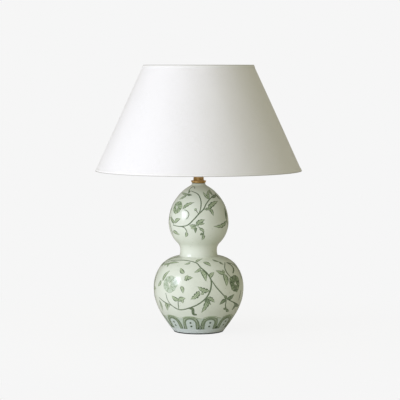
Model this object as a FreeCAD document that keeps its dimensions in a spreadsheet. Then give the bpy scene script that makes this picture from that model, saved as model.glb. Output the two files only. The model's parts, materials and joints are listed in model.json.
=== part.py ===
import FreeCAD, Part
import math
import os
import Sketcher

# Double gourd table lamp. Millimetres, +Z up, origin at the centre of the felt's underside,
# front towards -Y. The ceramic body is held by one hollow rod between a nut in the foot and the
# brass on the neck, and the rod carries the lampholder, the shade carrier and the shade.

SIZES = [
    # alias, value, what it is
    ("felt_thick", 2.5, "felt under the foot"),
    ("felt_radius", 54.5, "felt under the foot"),
    ("foot_radius", 55.5, "outer radius where the glaze ends"),
    ("recess_radius", 46, "inside of the foot ring"),
    ("recess_depth", 13.5, "foot ring's lower face up to the floor's underside"),
    ("wall", 6, "ceramic wall and floor"),
    ("cavity_foot_radius", 61, "where the inner wall meets the floor"),
    ("foot_break_height", 41, "where the two curves under the belly meet"),
    ("belly_radius", 98.2, "lower gourd at its widest"),
    ("belly_height", 97.5, "its height above the table"),
    ("belly_low_curve", 107, "profile radius under the belly"),
    ("belly_high_curve", 79.5, "profile radius over the belly"),
    ("shoulder_break_height", 138.5, "where the two curves over the belly meet"),
    ("crease_radius", 42, "sharp line where the shoulder meets the waist"),
    ("crease_height", 166, "its height"),
    ("waist_radius", 39.9, "narrowest part between the gourds"),
    ("waist_height", 179, "its height"),
    ("bulb_radius", 65.2, "upper gourd at its widest"),
    ("bulb_height", 239.5, "its height"),
    ("waist_hollow", 22.5, "hollow profile radius from the waist to the upper gourd"),
    ("neck_hollow", 5.9, "hollow profile radius from the upper gourd to the neck"),
    ("neck_radius", 14.4, "outside of the neck's rim"),
    ("neck_height", 325, "height of the neck's rim"),
    ("flex_height", 14.5, "centre of the flex inlet"),
    ("flex_bore", 4, "radius of the way for the flex"),
    ("bush_radius", 6, "body of the flex bush"),
    ("bush_collar_radius", 7.4, "collar of the flex bush"),
    ("bush_seat", 58, "distance of the collar's seat behind the axis"),
    ("bush_collar_length", 9, "collar from its seat to its square end"),
    ("bush_chamfer", 1, "square end of the collar, its chamfer"),
    ("bush_tail", 3, "bush inside the recess"),
    ("rod_radius", 5, "hollow rod, outside"),
    ("rod_bore", 3.5, "hollow rod, inside"),
    ("rod_tail", 3, "rod below its nut"),
    ("rod_entry", 3.2, "rod inside the lampholder"),
    ("thread_gap", 0.05, "radial clearance of a threaded or sliding fit"),
    ("base_washer_radius", 19, "large washer under the floor"),
    ("washer_thick", 1.5, "large washer"),
    ("lock_washer_radius", 8.6, "split washer"),
    ("lock_washer_thick", 1.2, "split washer"),
    ("lock_washer_split", 1.4, "its slot"),
    ("nut_radius", 9.8, "hexagon nut across its corners, halved"),
    ("nut_thick", 4, "hexagon nut"),
    ("ring_flange_radius", 11.6, "centring ring's flange on the neck"),
    ("ring_flange_thick", 1.2, "its flange"),
    ("ring_plug_length", 9, "its plug inside the neck"),
    ("ring_plug_gap", 0.3, "plug to the neck's bore"),
    ("cap_height", 5.7, "brass cap on the neck"),
    ("cap_foot_radius", 14.3, "cap where it sits on the ceramic"),
    ("cap_radius", 16.2, "cap at its widest"),
    ("cap_edge", 1.1, "height of the cap's rolled edge"),
    ("cap_edge_curve", 0.58, "profile radius of the rolled edge"),
    ("cap_sharp", 0.4, "small bevels of the cap"),
    ("cap_sharp_fall", 0.05, "how far its top bevel drops"),
    ("cap_hollow", 3.2, "depth of the cap's hollow underside"),
    ("column_radius", 11.5, "brass column at its foot"),
    ("column_top_radius", 10.3, "brass column at its top"),
    ("column_height", 18.3, "brass column"),
    ("sheet_brass", 1.2, "wall of the turned brass"),
    ("check_ring_radius", 9, "check ring under the lampholder"),
    ("check_ring_thick", 4, "check ring"),
    ("check_ring_bevel", 0.6, "its bevels"),
    ("cup_radius", 19.5, "lampholder cup"),
    ("cup_height", 19, "lampholder cup"),
    ("cup_boss_radius", 8, "boss with the rod's thread"),
    ("cup_boss_height", 4, "boss"),
    ("cup_wall", 0.8, "lampholder brass"),
    ("cup_round", 3, "rounding under the cup"),
    ("core_ledge", 13, "cup's floor up to the core's seat"),
    ("sleeve_height", 33, "threaded sleeve"),
    ("sleeve_radius", 19.75, "threaded sleeve over its thread"),
    ("sleeve_lip", 1, "sleeve's turned-in lip"),
    ("sleeve_bevel", 0.5, "sleeve's top edge"),
    ("sleeve_mouth", 1, "sleeve's mouth outside the screw shell"),
    ("core_height", 36, "insulating core"),
    ("core_floor", 13, "core's solid base"),
    ("core_foot_height", 5, "core's wide foot"),
    ("core_waist_radius", 17.6, "core above its foot"),
    ("shell_bore", 13.5, "screw shell inside, radius"),
    ("shell_wall", 0.5, "screw shell"),
    ("shell_height", 18, "screw shell"),
    ("shell_lift", 4, "screw shell above the core's floor"),
    ("core_well_inset", 1.5, "core's well inside the screw shell"),
    ("tongue_width", 6, "centre contact"),
    ("tongue_thick", 0.6, "centre contact"),
    ("tongue_reach", 9, "centre contact, length"),
    ("tongue_rise", 2.4, "centre contact, rise at its tip"),
    ("tongue_hold", 3, "centre contact lying beyond the axis"),
    ("tongue_slope_foot", 4, "where its underside starts to rise"),
    ("terminal_size", 5, "terminal block, each way"),
    ("terminal_offset", 9.5, "terminal block from the axis"),
    ("screw_radius", 1.6, "terminal screw head"),
    ("screw_height", 1.2, "terminal screw head"),
    ("earth_tag_width", 2.4, "earth tag round the boss"),
    ("earth_tag_thick", 0.8, "earth tag"),
    ("bar_radius", 2.4, "push bar of the switch"),
    ("bar_button_radius", 3.6, "its rounded ends"),
    ("bar_button_length", 4, "its rounded ends"),
    ("bar_button_round", 1.2, "rounding of the ends"),
    ("bar_reach", 4, "free length at the pushed-in end"),
    ("bar_travel", 5, "how far the bar slides"),
    ("bar_height", 8.2, "bar above the cup's floor"),
    ("bar_gap", 0.3, "bar to the holes in the cup"),
    ("clamp_radius", 28, "shade rings, outside"),
    ("clamp_height", 7, "shade rings"),
    ("clamp_bevel", 0.8, "shade rings' edges"),
    ("clamp_lift", 4, "lower shade ring above the cup"),
    ("clamp_notch", 1.2, "finger grip, radius"),
    ("clamp_notch_depth", 0.4, "its centre outside the ring"),
    ("clamp_notches", 24, "finger grips round a ring"),
    ("collar_radius", 32.5, "shade carrier's collar"),
    ("collar_thick", 1.5, "shade carrier's collar"),
    ("collar_gap", 0.5, "collar to the sleeve"),
    ("carrier_wire", 1.5, "carrier wire, radius"),
    ("leg_inset", 1.9, "leg's centre inside the collar's edge"),
    ("leg_low", 10, "straight foot of a leg"),
    ("leg_bend", 18, "bend radius of a leg"),
    ("leg_high", 42, "straight top of a leg"),
    ("carrier_ring_radius", 46.5, "carrier's top ring"),
    ("carrier_ring_height", 552, "its height above the table"),
    ("ring_seat_out", 2, "shade ring's overhang on the carrier ring"),
    ("ring_seat_gap", 0.3, "shade ring to carrier ring"),
    ("shade_bottom_radius", 225, "shade over its bottom hem"),
    ("shade_top_radius", 120, "shade over its top hem"),
    ("shade_foot", 352, "shade's bottom edge above the table"),
    ("shade_height", 230, "shade"),
    ("shade_cover_thick", 1.1, "fabric on its stiff backing"),
    ("hem_thick", 0.6, "rolled hem"),
    ("hem_height", 6, "rolled hem"),
    ("shade_wire", 1.5, "shade rings' wire, radius"),
    ("arm_wire", 1.5, "shade arms' wire, radius"),
    ("arm_bend", 12, "bend radius of an arm"),
    ("arm_fall", 18, "level part of an arm ends this far inside the shade's wire"),
    ("glass_radius", 30, "bulb's globe"),
    ("glass_wall", 0.8, "bulb's glass"),
    ("glass_neck_curve", 40, "profile radius where the globe meets the neck"),
    ("glass_neck_radius", 13, "bulb's neck in its cap"),
    ("glass_length", 84, "globe's top above the cap"),
    ("cap_shell_radius", 13.15, "bulb's screw cap over its thread"),
    ("cap_shell_height", 20, "bulb's screw cap"),
    ("cap_shell_wall", 0.4, "bulb's screw cap"),
    ("cap_taper_height", 4, "bulb's insulator"),
    ("cap_taper_inset", 0.6, "insulator's wide end inside the cap's shell"),
    ("cap_taper_foot", 1, "insulator's narrow end outside the contact"),
    ("cap_tip_radius", 4.8, "bulb's contact"),
    ("cap_tip_height", 1.2, "bulb's contact"),
    ("cap_tip_bevel", 0.8, "bulb's contact, its bevel"),
    ("bulb_seat_gap", 0.3, "bulb's contact to the tongue"),
]

LEG_ANGLES = (45, 135, 225, 315)
ARM_ANGLES = (90, 210, 330)

doc = FreeCAD.newDocument("gourd_lamp")
sheet = doc.addObject("Spreadsheet::Sheet", "Sizes")
for row, (alias, value, note) in enumerate(SIZES, start=1):
    sheet.set(f"A{row}", alias)
    sheet.set(f"B{row}", str(value))
    sheet.set(f"C{row}", note)
    sheet.setAlias(f"B{row}", alias)

# Places that follow from the sizes, each written once as a formula of the sheet.
PLACES = [
    ("foot_ring", "felt_thick"),
    ("floor_under", "foot_ring + recess_depth"),
    ("floor_top", "floor_under + wall"),
    ("rod_hole", "rod_radius + thread_gap"),
    ("neck_bore", "neck_radius - wall"),
    ("washer_under", "floor_under - washer_thick"),
    ("lock_under", "washer_under - lock_washer_thick"),
    ("nut_under", "lock_under - nut_thick"),
    ("rod_foot", "nut_under - rod_tail"),
    ("cap_top", "neck_height + cap_height"),
    ("column_top", "cap_top + column_height"),
    ("cup_foot", "column_top + check_ring_thick"),
    ("cup_top", "cup_foot + cup_height"),
    ("rod_top", "cup_foot + rod_entry"),
    ("core_foot", "cup_foot + core_ledge"),
    ("core_radius", "cup_radius - cup_wall - thread_gap"),
    ("core_seat", "core_foot + core_floor"),
    ("sleeve_top", "cup_top + sleeve_height"),
    ("shell_foot", "core_seat + shell_lift"),
    ("bar_axis", "cup_foot + bar_height"),
    ("clamp_foot", "cup_top + clamp_lift"),
    ("collar_foot", "clamp_foot + clamp_height"),
    ("collar_top", "collar_foot + collar_thick"),
    ("leg_radius", "collar_radius - leg_inset"),
    ("lean", "(shade_bottom_radius - shade_top_radius) / shade_height"),
    ("shade_head", "shade_foot + shade_height"),
    ("cover_skew", "sqrt(1 + lean * lean)"),
    ("low_wire_height", "shade_foot + hem_thick + shade_wire"),
    ("high_wire_height", "shade_head - hem_thick - shade_wire"),
    ("wire_inset", "hem_thick + shade_cover_thick + (shade_wire + thread_gap) * cover_skew"),
    ("low_wire_radius", "shade_bottom_radius - lean * (low_wire_height - shade_foot) - wire_inset"),
    ("high_wire_radius", "shade_bottom_radius - lean * (high_wire_height - shade_foot) - wire_inset"),
    ("seat_reach", "carrier_wire + shade_wire + ring_seat_gap"),
    ("seat_radius", "carrier_ring_radius + ring_seat_out"),
    ("seat_height", "carrier_ring_height + sqrt(seat_reach ^ 2 - ring_seat_out ^ 2)"),
    ("tongue_top", "core_seat + tongue_thick + tongue_rise"),
    ("tip_foot", "tongue_top + bulb_seat_gap"),
    ("taper_foot", "tip_foot + cap_tip_height"),
    ("cap_shell_foot", "taper_foot + cap_taper_height"),
    ("cap_shell_top", "cap_shell_foot + cap_shell_height"),
    ("globe_top", "cap_shell_top + glass_length"),
    ("globe_centre", "globe_top - glass_radius"),
]
for row, (alias, formula) in enumerate(PLACES, start=len(SIZES) + 1):
    sheet.set(f"A{row}", alias)
    sheet.set(f"B{row}", f"={formula}")
    sheet.setAlias(f"B{row}", alias)
doc.recompute()

ALIASES = sorted([entry[0] for entry in SIZES] + [entry[0] for entry in PLACES])
parts = {}


def bound(formula):
    """The formula with the sheet's name in front of each of its aliases."""
    words = []
    word = ""
    for letter in formula + " ":
        if letter.isalnum() or letter == "_":
            word += letter
            continue
        words.append(f"Sizes.{word}" if word in ALIASES else word)
        words.append(letter)
        word = ""
    return "".join(words).strip()


def measure(formula):
    """The formula's value in millimetres, from the sheet."""
    return float(sheet.evalExpression(bound(formula)))


def bind(thing, path, formula):
    thing.setExpression(path, bound(formula))


def new_body(name):
    body = doc.addObject("PartDesign::Body", name)
    body.Label = name
    parts[name] = body
    return body


def sketch_on(body, role, name, lift=None):
    """A sketch on one of the body's own origin planes, lifted along its normal where lift says."""
    plane = [item for item in body.Origin.OriginFeatures if item.Role == role][0]
    sketch = body.newObject("Sketcher::SketchObject", name)
    sketch.AttachmentSupport = [(plane, "")]
    sketch.MapMode = "FlatFace"
    if lift:
        bind(sketch, "AttachmentOffset.Base.z", lift)
    return sketch


def place_point(sketch, curve, end, across, up):
    """Fix a point of the sketch at two formulas, on an axis where a formula is 0."""
    for kind, axis, formula in (("DistanceX", -2, across), ("DistanceY", -1, up)):
        if formula == "0":
            sketch.addConstraint(Sketcher.Constraint("PointOnObject", curve, end, axis))
            continue
        rule = sketch.addConstraint(Sketcher.Constraint(kind, -1, 1, curve, end, measure(formula)))
        bind(sketch, f"Constraints[{rule}]", formula)


def circle_on(sketch, across, up, radius):
    centre = FreeCAD.Vector(measure(across), measure(up), 0)
    ring = sketch.addGeometry(Part.Circle(centre, FreeCAD.Vector(0, 0, 1), measure(radius)))
    place_point(sketch, ring, 3, across, up)
    rule = sketch.addConstraint(Sketcher.Constraint("Radius", ring, measure(radius)))
    bind(sketch, f"Constraints[{rule}]", radius)
    return ring


def arc_between(begin, finish, radius, left):
    """The short arc of this radius from begin to finish, its centre on the left or the right."""
    chord = finish - begin
    middle = (begin + finish) * 0.5
    side = FreeCAD.Vector(-chord.y, chord.x, 0).normalize()
    rise = math.sqrt(max(radius ** 2 - (chord.Length / 2) ** 2, 0))
    centre = middle + side * (rise if left else -rise)
    first, last = (begin, finish) if left else (finish, begin)
    start = math.atan2(first.y - centre.y, first.x - centre.x)
    stop = math.atan2(last.y - centre.y, last.x - centre.x)
    return Part.ArcOfCircle(Part.Circle(centre, FreeCAD.Vector(0, 0, 1), radius), start, stop)


def closed_outline(sketch, corners):
    """Join corners (across, up) by lines, or by an arc where a corner has a third entry.

    The third entry is (radius formula, "left" or "right"): the arc leaves that corner, and its
    centre lies on that side of the way to the next corner.
    """
    points = [FreeCAD.Vector(measure(corner[0]), measure(corner[1]), 0) for corner in corners]
    ends = []
    for index, corner in enumerate(corners):
        begin = points[index]
        finish = points[(index + 1) % len(points)]
        if len(corner) == 2:
            curve = sketch.addGeometry(Part.LineSegment(begin, finish))
            ends.append((curve, 1, 2))
            continue
        radius, side = corner[2]
        curve = sketch.addGeometry(arc_between(begin, finish, measure(radius), side == "left"))
        ends.append((curve, 1, 2) if side == "left" else (curve, 2, 1))
        rule = sketch.addConstraint(Sketcher.Constraint("Radius", curve, measure(radius)))
        bind(sketch, f"Constraints[{rule}]", radius)
    for index, (curve, first, last) in enumerate(ends):
        after, after_first, _ = ends[(index + 1) % len(ends)]
        sketch.addConstraint(Sketcher.Constraint("Coincident", curve, last, after, after_first))
        place_point(sketch, curve, first, corners[index][0], corners[index][1])


def revolve(body, sketch, name="turning"):
    turning = body.newObject("PartDesign::Revolution", name)
    turning.Profile = sketch
    turning.ReferenceAxis = (sketch, ["V_Axis"])
    turning.Angle = 360
    sketch.Visibility = False
    return turning


def turned(name, corners):
    """A body turned about its own Z axis from an outline of (radius, height) corners."""
    body = new_body(name)
    sketch = sketch_on(body, "XZ_Plane", "profile")
    closed_outline(sketch, corners)
    revolve(body, sketch)
    return body


def pocket_through(body, sketch, name, both_ways=False):
    """Cut the sketch right through the body on one side of its plane, or on both."""
    doc.recompute()
    before = body.Shape.Volume
    cut = body.newObject("PartDesign::Pocket", name)
    cut.Profile = sketch
    cut.Type = 1
    cut.Midplane = both_ways
    doc.recompute()
    if not body.Shape.Volume < before:
        raise ValueError(f"{name} cuts nothing")


# ---- ceramic body -------------------------------------------------------------------------

def bend_from(start, heading, finish):
    """Centre of the arc that leaves start along heading and ends at finish."""
    normal = FreeCAD.Vector(-heading.y, heading.x, 0)
    way = finish - start
    reach = way.dot(way) / (2 * way.dot(normal))
    return start + normal * reach


def arc_about(centre, begin, finish, left):
    """The arc about centre from begin to finish, counter-clockwise where left."""
    first, last = (begin, finish) if left else (finish, begin)
    start = math.atan2(first.y - centre.y, first.x - centre.x)
    stop = math.atan2(last.y - centre.y, last.x - centre.x)
    circle = Part.Circle(centre, FreeCAD.Vector(0, 0, 1), (begin - centre).Length)
    return Part.ArcOfCircle(circle, start, stop)


def on_circle(centre, radius, height):
    """The outer point of a circle at a height."""
    across = math.sqrt(radius ** 2 - (height - centre.y) ** 2)
    return FreeCAD.Vector(centre.x + across, height, 0)


def waist_meets(waist, rim, radius):
    """Where the hollow arc of this radius at waist touches the arc of the widest point rim."""
    hollow = FreeCAD.Vector(waist.x + radius, waist.y, 0)
    across = hollow.x - rim.x
    up = rim.y - waist.y
    curve = (across ** 2 + up ** 2 - radius ** 2) / (2 * (radius - across))
    centre = FreeCAD.Vector(rim.x - curve, rim.y, 0)
    touch = centre + (hollow - centre).normalize() * curve
    return hollow, centre, touch


def gourd_side(sketch, inset, foot, crease):
    """The nine arcs of the gourd's side, all tangent but for the crease, set in by inset.

    Each gourd has its widest point, where two arcs share a vertical tangent, and each hollow
    arc has its own. foot and crease are (radius, height) formulas of the two free ends. Returns
    the first and last arc, and the two arcs that end at the crease.
    """
    def at(radius, height):
        return FreeCAD.Vector(measure(radius), measure(height), 0)

    belly = at(f"belly_radius - {inset}", "belly_height")
    waist = at(f"waist_radius - {inset}", "waist_height")
    bulb = at(f"bulb_radius - {inset}", "bulb_height")
    neck = at(f"neck_radius - {inset}", "neck_height")
    curves = {
        "low": f"belly_low_curve - {inset}",
        "high": f"belly_high_curve - {inset}",
        "waist": f"waist_hollow + {inset}",
        "neck": f"neck_hollow + {inset}",
    }
    low_centre = FreeCAD.Vector(belly.x - measure(curves["low"]), belly.y, 0)
    high_centre = FreeCAD.Vector(belly.x - measure(curves["high"]), belly.y, 0)
    low_break = on_circle(low_centre, measure(curves["low"]), measure("foot_break_height"))
    high_break = on_circle(high_centre, measure(curves["high"]), measure("shoulder_break_height"))
    down = (low_break - low_centre).normalize()
    foot_centre = bend_from(low_break, FreeCAD.Vector(down.y, -down.x, 0), at(*foot))
    over = (high_break - high_centre).normalize()
    crease_point = at(*crease)
    shoulder_centre = bend_from(high_break, FreeCAD.Vector(-over.y, over.x, 0), crease_point)
    waist_foot = at(crease[0], "crease_height")
    flare_centre = bend_from(waist, FreeCAD.Vector(0, -1, 0), waist_foot)
    hollow, under_centre, under_touch = waist_meets(waist, bulb, measure(curves["waist"]))
    neck_hollow, over_centre, over_touch = waist_meets(neck, bulb, measure(curves["neck"]))

    foot_arc = sketch.addGeometry(arc_about(foot_centre, at(*foot), low_break, True))
    low_arc = sketch.addGeometry(arc_about(low_centre, low_break, belly, True))
    high_arc = sketch.addGeometry(arc_about(high_centre, belly, high_break, True))
    shoulder_arc = sketch.addGeometry(arc_about(shoulder_centre, high_break, crease_point, True))
    flare_arc = sketch.addGeometry(arc_about(flare_centre, waist_foot, waist, False))
    waist_arc = sketch.addGeometry(arc_about(hollow, waist, under_touch, False))
    under_arc = sketch.addGeometry(arc_about(under_centre, under_touch, bulb, True))
    over_arc = sketch.addGeometry(arc_about(over_centre, bulb, over_touch, True))
    neck_arc = sketch.addGeometry(arc_about(neck_hollow, over_touch, neck, False))

    def tangent(first, first_end, second, second_end):
        sketch.addConstraint(Sketcher.Constraint("Tangent", first, first_end, second, second_end))

    def joined(first, first_end, second, second_end):
        sketch.addConstraint(Sketcher.Constraint("Coincident", first, first_end, second, second_end))

    def level(arc, end, height):
        rule = sketch.addConstraint(Sketcher.Constraint("DistanceY", -1, 1, arc, end, measure(height)))
        bind(sketch, f"Constraints[{rule}]", height)

    def curved(arc, radius):
        rule = sketch.addConstraint(Sketcher.Constraint("Radius", arc, measure(radius)))
        bind(sketch, f"Constraints[{rule}]", radius)

    tangent(foot_arc, 2, low_arc, 1)
    joined(low_arc, 2, high_arc, 1)
    tangent(high_arc, 2, shoulder_arc, 1)
    joined(flare_arc, 1, waist_arc, 2)
    tangent(waist_arc, 1, under_arc, 1)
    joined(under_arc, 2, over_arc, 1)
    tangent(over_arc, 2, neck_arc, 2)
    for arc, height in ((low_arc, "belly_height"), (high_arc, "belly_height"),
                        (flare_arc, "waist_height"), (waist_arc, "waist_height"),
                        (under_arc, "bulb_height"), (over_arc, "bulb_height"),
                        (neck_arc, "neck_height")):
        level(arc, 3, height)
    for arc, radius in ((low_arc, "low"), (high_arc, "high"), (waist_arc, "waist"), (neck_arc, "neck")):
        curved(arc, curves[radius])
    level(low_arc, 1, "foot_break_height")
    level(high_arc, 2, "shoulder_break_height")
    place_point(sketch, foot_arc, 1, *foot)
    place_point(sketch, low_arc, 2, f"belly_radius - {inset}", "belly_height")
    place_point(sketch, flare_arc, 2, crease[0], "crease_height")
    place_point(sketch, waist_arc, 2, f"waist_radius - {inset}", "waist_height")
    place_point(sketch, under_arc, 2, f"bulb_radius - {inset}", "bulb_height")
    place_point(sketch, neck_arc, 1, f"neck_radius - {inset}", "neck_height")
    return foot_arc, shoulder_arc, flare_arc, neck_arc


def line_between(sketch, first, second):
    """A line from the point (curve, end) of one curve to that of another."""
    points = [sketch.getPoint(*first), sketch.getPoint(*second)]
    line = sketch.addGeometry(Part.LineSegment(*points))
    sketch.addConstraint(Sketcher.Constraint("Coincident", line, 1, *first))
    sketch.addConstraint(Sketcher.Constraint("Coincident", line, 2, *second))
    return line


def path_of_lines(sketch, first, corners, last):
    """Lines from one curve's end through corners to another curve's end."""
    reached = first
    for across, up in corners:
        start = sketch.getPoint(*reached)
        stop = FreeCAD.Vector(measure(across), measure(up), 0)
        line = sketch.addGeometry(Part.LineSegment(start, stop))
        sketch.addConstraint(Sketcher.Constraint("Coincident", line, 1, *reached))
        place_point(sketch, line, 2, across, up)
        reached = (line, 2)
    line_between(sketch, reached, last)


def make_gourd():
    """Slip-cast body: a hollow double gourd with a foot ring, a floor and a drilled flex hole."""
    body = new_body("gourd_body")
    sketch = sketch_on(body, "XZ_Plane", "profile")
    foot, shoulder, flare, neck = gourd_side(
        sketch, "0", ("foot_radius", "foot_ring"), ("crease_radius", "crease_height"))
    sketch.addConstraint(Sketcher.Constraint("Coincident", shoulder, 2, flare, 2))
    in_crease = ("crease_radius - wall", "crease_height - wall")
    in_foot, in_shoulder, in_flare, in_neck = gourd_side(
        sketch, "wall", ("cavity_foot_radius", "floor_top"), in_crease)
    place_point(sketch, in_shoulder, 2, *in_crease)
    line_between(sketch, (in_shoulder, 2), (in_flare, 2))
    line_between(sketch, (neck, 1), (in_neck, 1))
    path_of_lines(
        sketch, (in_foot, 1),
        [("rod_hole", "floor_top"), ("rod_hole", "floor_under"), ("recess_radius", "floor_under"),
         ("recess_radius", "foot_ring")],
        (foot, 1))
    revolve(body, sketch)
    hole = sketch_on(body, "XZ_Plane", "flex_hole_outline")
    circle_on(hole, "0", "flex_height", "bush_radius + thread_gap")
    pocket_through(body, hole, "flex_hole")
    seat = sketch_on(body, "XZ_Plane", "flex_seat_outline", "-bush_seat")
    circle_on(seat, "0", "flex_height", "bush_collar_radius + thread_gap")
    pocket_through(body, seat, "flex_seat")


def hexagon_nut(name, radius, foot, thick):
    """A hexagon nut, its corners chamfered by a cone, bored for the rod."""
    prism = doc.addObject("Part::Prism", f"{name}_hexagon")
    prism.Polygon = 6
    bind(prism, "Circumradius", radius)
    bind(prism, "Height", thick)
    bind(prism, "Placement.Base.z", foot)
    cone = doc.addObject("Part::Cone", f"{name}_chamfer")
    bind(cone, "Radius1", f"{radius} * cos(30) + {thick}")
    bind(cone, "Radius2", f"{radius} * cos(30)")
    bind(cone, "Height", thick)
    bind(cone, "Placement.Base.z", foot)
    shaped = doc.addObject("Part::Common", f"{name}_shaped")
    shaped.Base = prism
    shaped.Tool = cone
    bore = doc.addObject("Part::Cylinder", f"{name}_bore")
    bind(bore, "Radius", "rod_hole")
    bind(bore, "Height", thick)
    bind(bore, "Placement.Base.z", foot)
    nut = doc.addObject("Part::Cut", name)
    nut.Base = shaped
    nut.Tool = bore
    nut.Label = name
    parts[name] = nut


def make_foot():
    """Felt, and the large washer, split washer and nut that pull the rod down in the recess."""
    turned("foot_felt", [
        ("0", "0"), ("felt_radius", "0"), ("felt_radius", "felt_thick"), ("0", "felt_thick")])
    turned("base_washer", [
        ("rod_hole", "washer_under"), ("base_washer_radius", "washer_under"),
        ("base_washer_radius", "floor_under"), ("rod_hole", "floor_under")])
    washer = turned("base_lock_washer", [
        ("rod_hole", "lock_under"), ("lock_washer_radius", "lock_under"),
        ("lock_washer_radius", "washer_under"), ("rod_hole", "washer_under")])
    slot = sketch_on(washer, "XZ_Plane", "split_outline")
    closed_outline(slot, [
        ("-lock_washer_split / 2", "lock_under"), ("lock_washer_split / 2", "lock_under"),
        ("lock_washer_split / 2", "washer_under"), ("-lock_washer_split / 2", "washer_under")])
    pocket_through(washer, slot, "split")
    hexagon_nut("base_nut", "nut_radius", "nut_under", "nut_thick")


def make_rod():
    turned("threaded_rod", [
        ("rod_bore", "rod_foot"), ("rod_radius", "rod_foot"),
        ("rod_radius", "rod_top"), ("rod_bore", "rod_top")])


def make_flex_bush():
    """Rubber bush with a square-ended collar, through the foot ring at the back."""
    tail = "(sqrt(recess_radius ^ 2 - (bush_radius + thread_gap) ^ 2) - bush_tail)"
    body = turned("flex_bush", [
        ("flex_bore", tail), ("bush_radius", tail), ("bush_radius", "bush_seat"),
        ("bush_collar_radius", "bush_seat"),
        ("bush_collar_radius", "bush_seat + bush_collar_length - bush_chamfer"),
        ("bush_collar_radius - bush_chamfer", "bush_seat + bush_collar_length"),
        ("flex_bore", "bush_seat + bush_collar_length")])
    body.Placement.Rotation = FreeCAD.Rotation(FreeCAD.Vector(1, 0, 0), -90)
    bind(body, "Placement.Base.z", "flex_height")


def make_neck():
    """Centring ring, brass cap, brass column and check ring on the ceramic neck."""
    flange = "neck_height + ring_flange_thick"
    plug = "neck_bore - ring_plug_gap"
    turned("neck_centring_ring", [
        ("rod_hole", "neck_height - ring_plug_length"), (plug, "neck_height - ring_plug_length"),
        (plug, "neck_height"), ("ring_flange_radius", "neck_height"),
        ("ring_flange_radius", flange), ("rod_hole", flange)])
    hollow_radius = "ring_flange_radius + ring_plug_gap"
    edge = "cap_top - cap_edge"
    turned("vase_cap", [
        ("rod_hole", "neck_height + cap_hollow"), (hollow_radius, "neck_height + cap_hollow"),
        (hollow_radius, "neck_height"), ("cap_foot_radius - cap_sharp", "neck_height"),
        ("cap_foot_radius", "neck_height + cap_sharp", ("cap_height", "left")),
        ("cap_radius", edge, ("cap_edge_curve", "left")),
        ("cap_radius - cap_sharp_fall", "cap_top - cap_sharp_fall"), ("cap_radius - cap_sharp", "cap_top"),
        ("rod_hole", "cap_top")])
    turned("brass_column", [
        ("column_radius - sheet_brass", "cap_top"),
        ("column_radius", "cap_top"),
        ("column_top_radius", "column_top"), ("rod_hole", "column_top"),
        ("rod_hole", "column_top - sheet_brass"),
        ("column_top_radius - sheet_brass", "column_top - sheet_brass")])
    turned("check_ring", [
        ("rod_hole", "column_top"), ("check_ring_radius - check_ring_bevel", "column_top"),
        ("check_ring_radius", "column_top + check_ring_bevel"),
        ("check_ring_radius", "cup_foot - check_ring_bevel"),
        ("check_ring_radius - check_ring_bevel", "cup_foot"), ("rod_hole", "cup_foot")])


def make_lampholder():
    """Cup, threaded sleeve, core, screw shell, contacts, terminals and push bar."""
    inner = "cup_radius - cup_wall"
    cup = turned("holder_cup", [
        ("rod_hole", "cup_foot"), ("cup_radius - cup_round", "cup_foot", ("cup_round", "left")),
        ("cup_radius", "cup_foot + cup_round"), ("cup_radius", "cup_top"), (inner, "cup_top"),
        (inner, "core_foot"), ("core_waist_radius - cup_wall", "core_foot"),
        ("core_waist_radius - cup_wall", "cup_foot + cup_round"),
        ("core_waist_radius - cup_wall - cup_round / 2", "cup_foot + cup_wall"),
        ("cup_boss_radius", "cup_foot + cup_wall"), ("cup_boss_radius", "cup_foot + cup_boss_height"),
        ("rod_hole", "cup_foot + cup_boss_height")])
    hole = sketch_on(cup, "YZ_Plane", "bar_hole_outline")
    circle_on(hole, "0", "bar_axis", "bar_radius + bar_gap")
    pocket_through(cup, hole, "bar_holes", both_ways=True)
    mouth = "shell_bore + shell_wall + sleeve_mouth"
    turned("holder_sleeve", [
        (inner, "cup_top"), ("sleeve_radius", "cup_top"), ("sleeve_radius", "sleeve_top - sleeve_bevel"),
        ("sleeve_radius - sleeve_bevel", "sleeve_top"), (mouth, "sleeve_top"),
        (mouth, "sleeve_top - sleeve_lip"), (inner, "sleeve_top - sleeve_lip")])
    core_top = "core_foot + core_height"
    socket = "shell_bore + shell_wall"
    turned("holder_core", [
        ("0", "core_foot"), ("core_radius", "core_foot"),
        ("core_radius", "core_foot + core_foot_height"),
        ("core_waist_radius", "core_foot + core_foot_height"), ("core_waist_radius", core_top),
        (socket, core_top), (socket, "shell_foot"), ("shell_bore - core_well_inset", "shell_foot"),
        ("shell_bore - core_well_inset", "core_seat"), ("0", "core_seat")])
    turned("screw_shell", [
        ("shell_bore", "shell_foot"), (socket, "shell_foot"),
        (socket, "shell_foot + shell_height"), ("shell_bore", "shell_foot + shell_height")])
    tongue = new_body("centre_contact")
    strip = sketch_on(tongue, "XZ_Plane", "strip_outline")
    closed_outline(strip, [
        ("-tongue_reach", "core_seat"), ("tongue_hold", "core_seat"),
        ("tongue_hold", "core_seat + tongue_thick"),
        ("-tongue_slope_foot", "core_seat + tongue_thick"),
        ("tongue_thick", "tongue_top - tongue_thick"), ("tongue_hold", "tongue_top - tongue_thick"),
        ("tongue_hold", "tongue_top"), ("0", "tongue_top"),
        ("-tongue_reach", "core_seat + tongue_thick")])
    pad = tongue.newObject("PartDesign::Pad", "strip")
    pad.Profile = strip
    pad.Midplane = True
    bind(pad, "Length", "tongue_width")
    make_terminals()
    tag_foot = "cup_foot + cup_wall"
    tag_edge = "cup_boss_radius + earth_tag_width"
    turned("earth_tag", [
        ("cup_boss_radius + thread_gap", tag_foot), (tag_edge, tag_foot),
        (tag_edge, f"{tag_foot} + earth_tag_thick"),
        ("cup_boss_radius + thread_gap", f"{tag_foot} + earth_tag_thick")])
    make_switch_bar()


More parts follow.
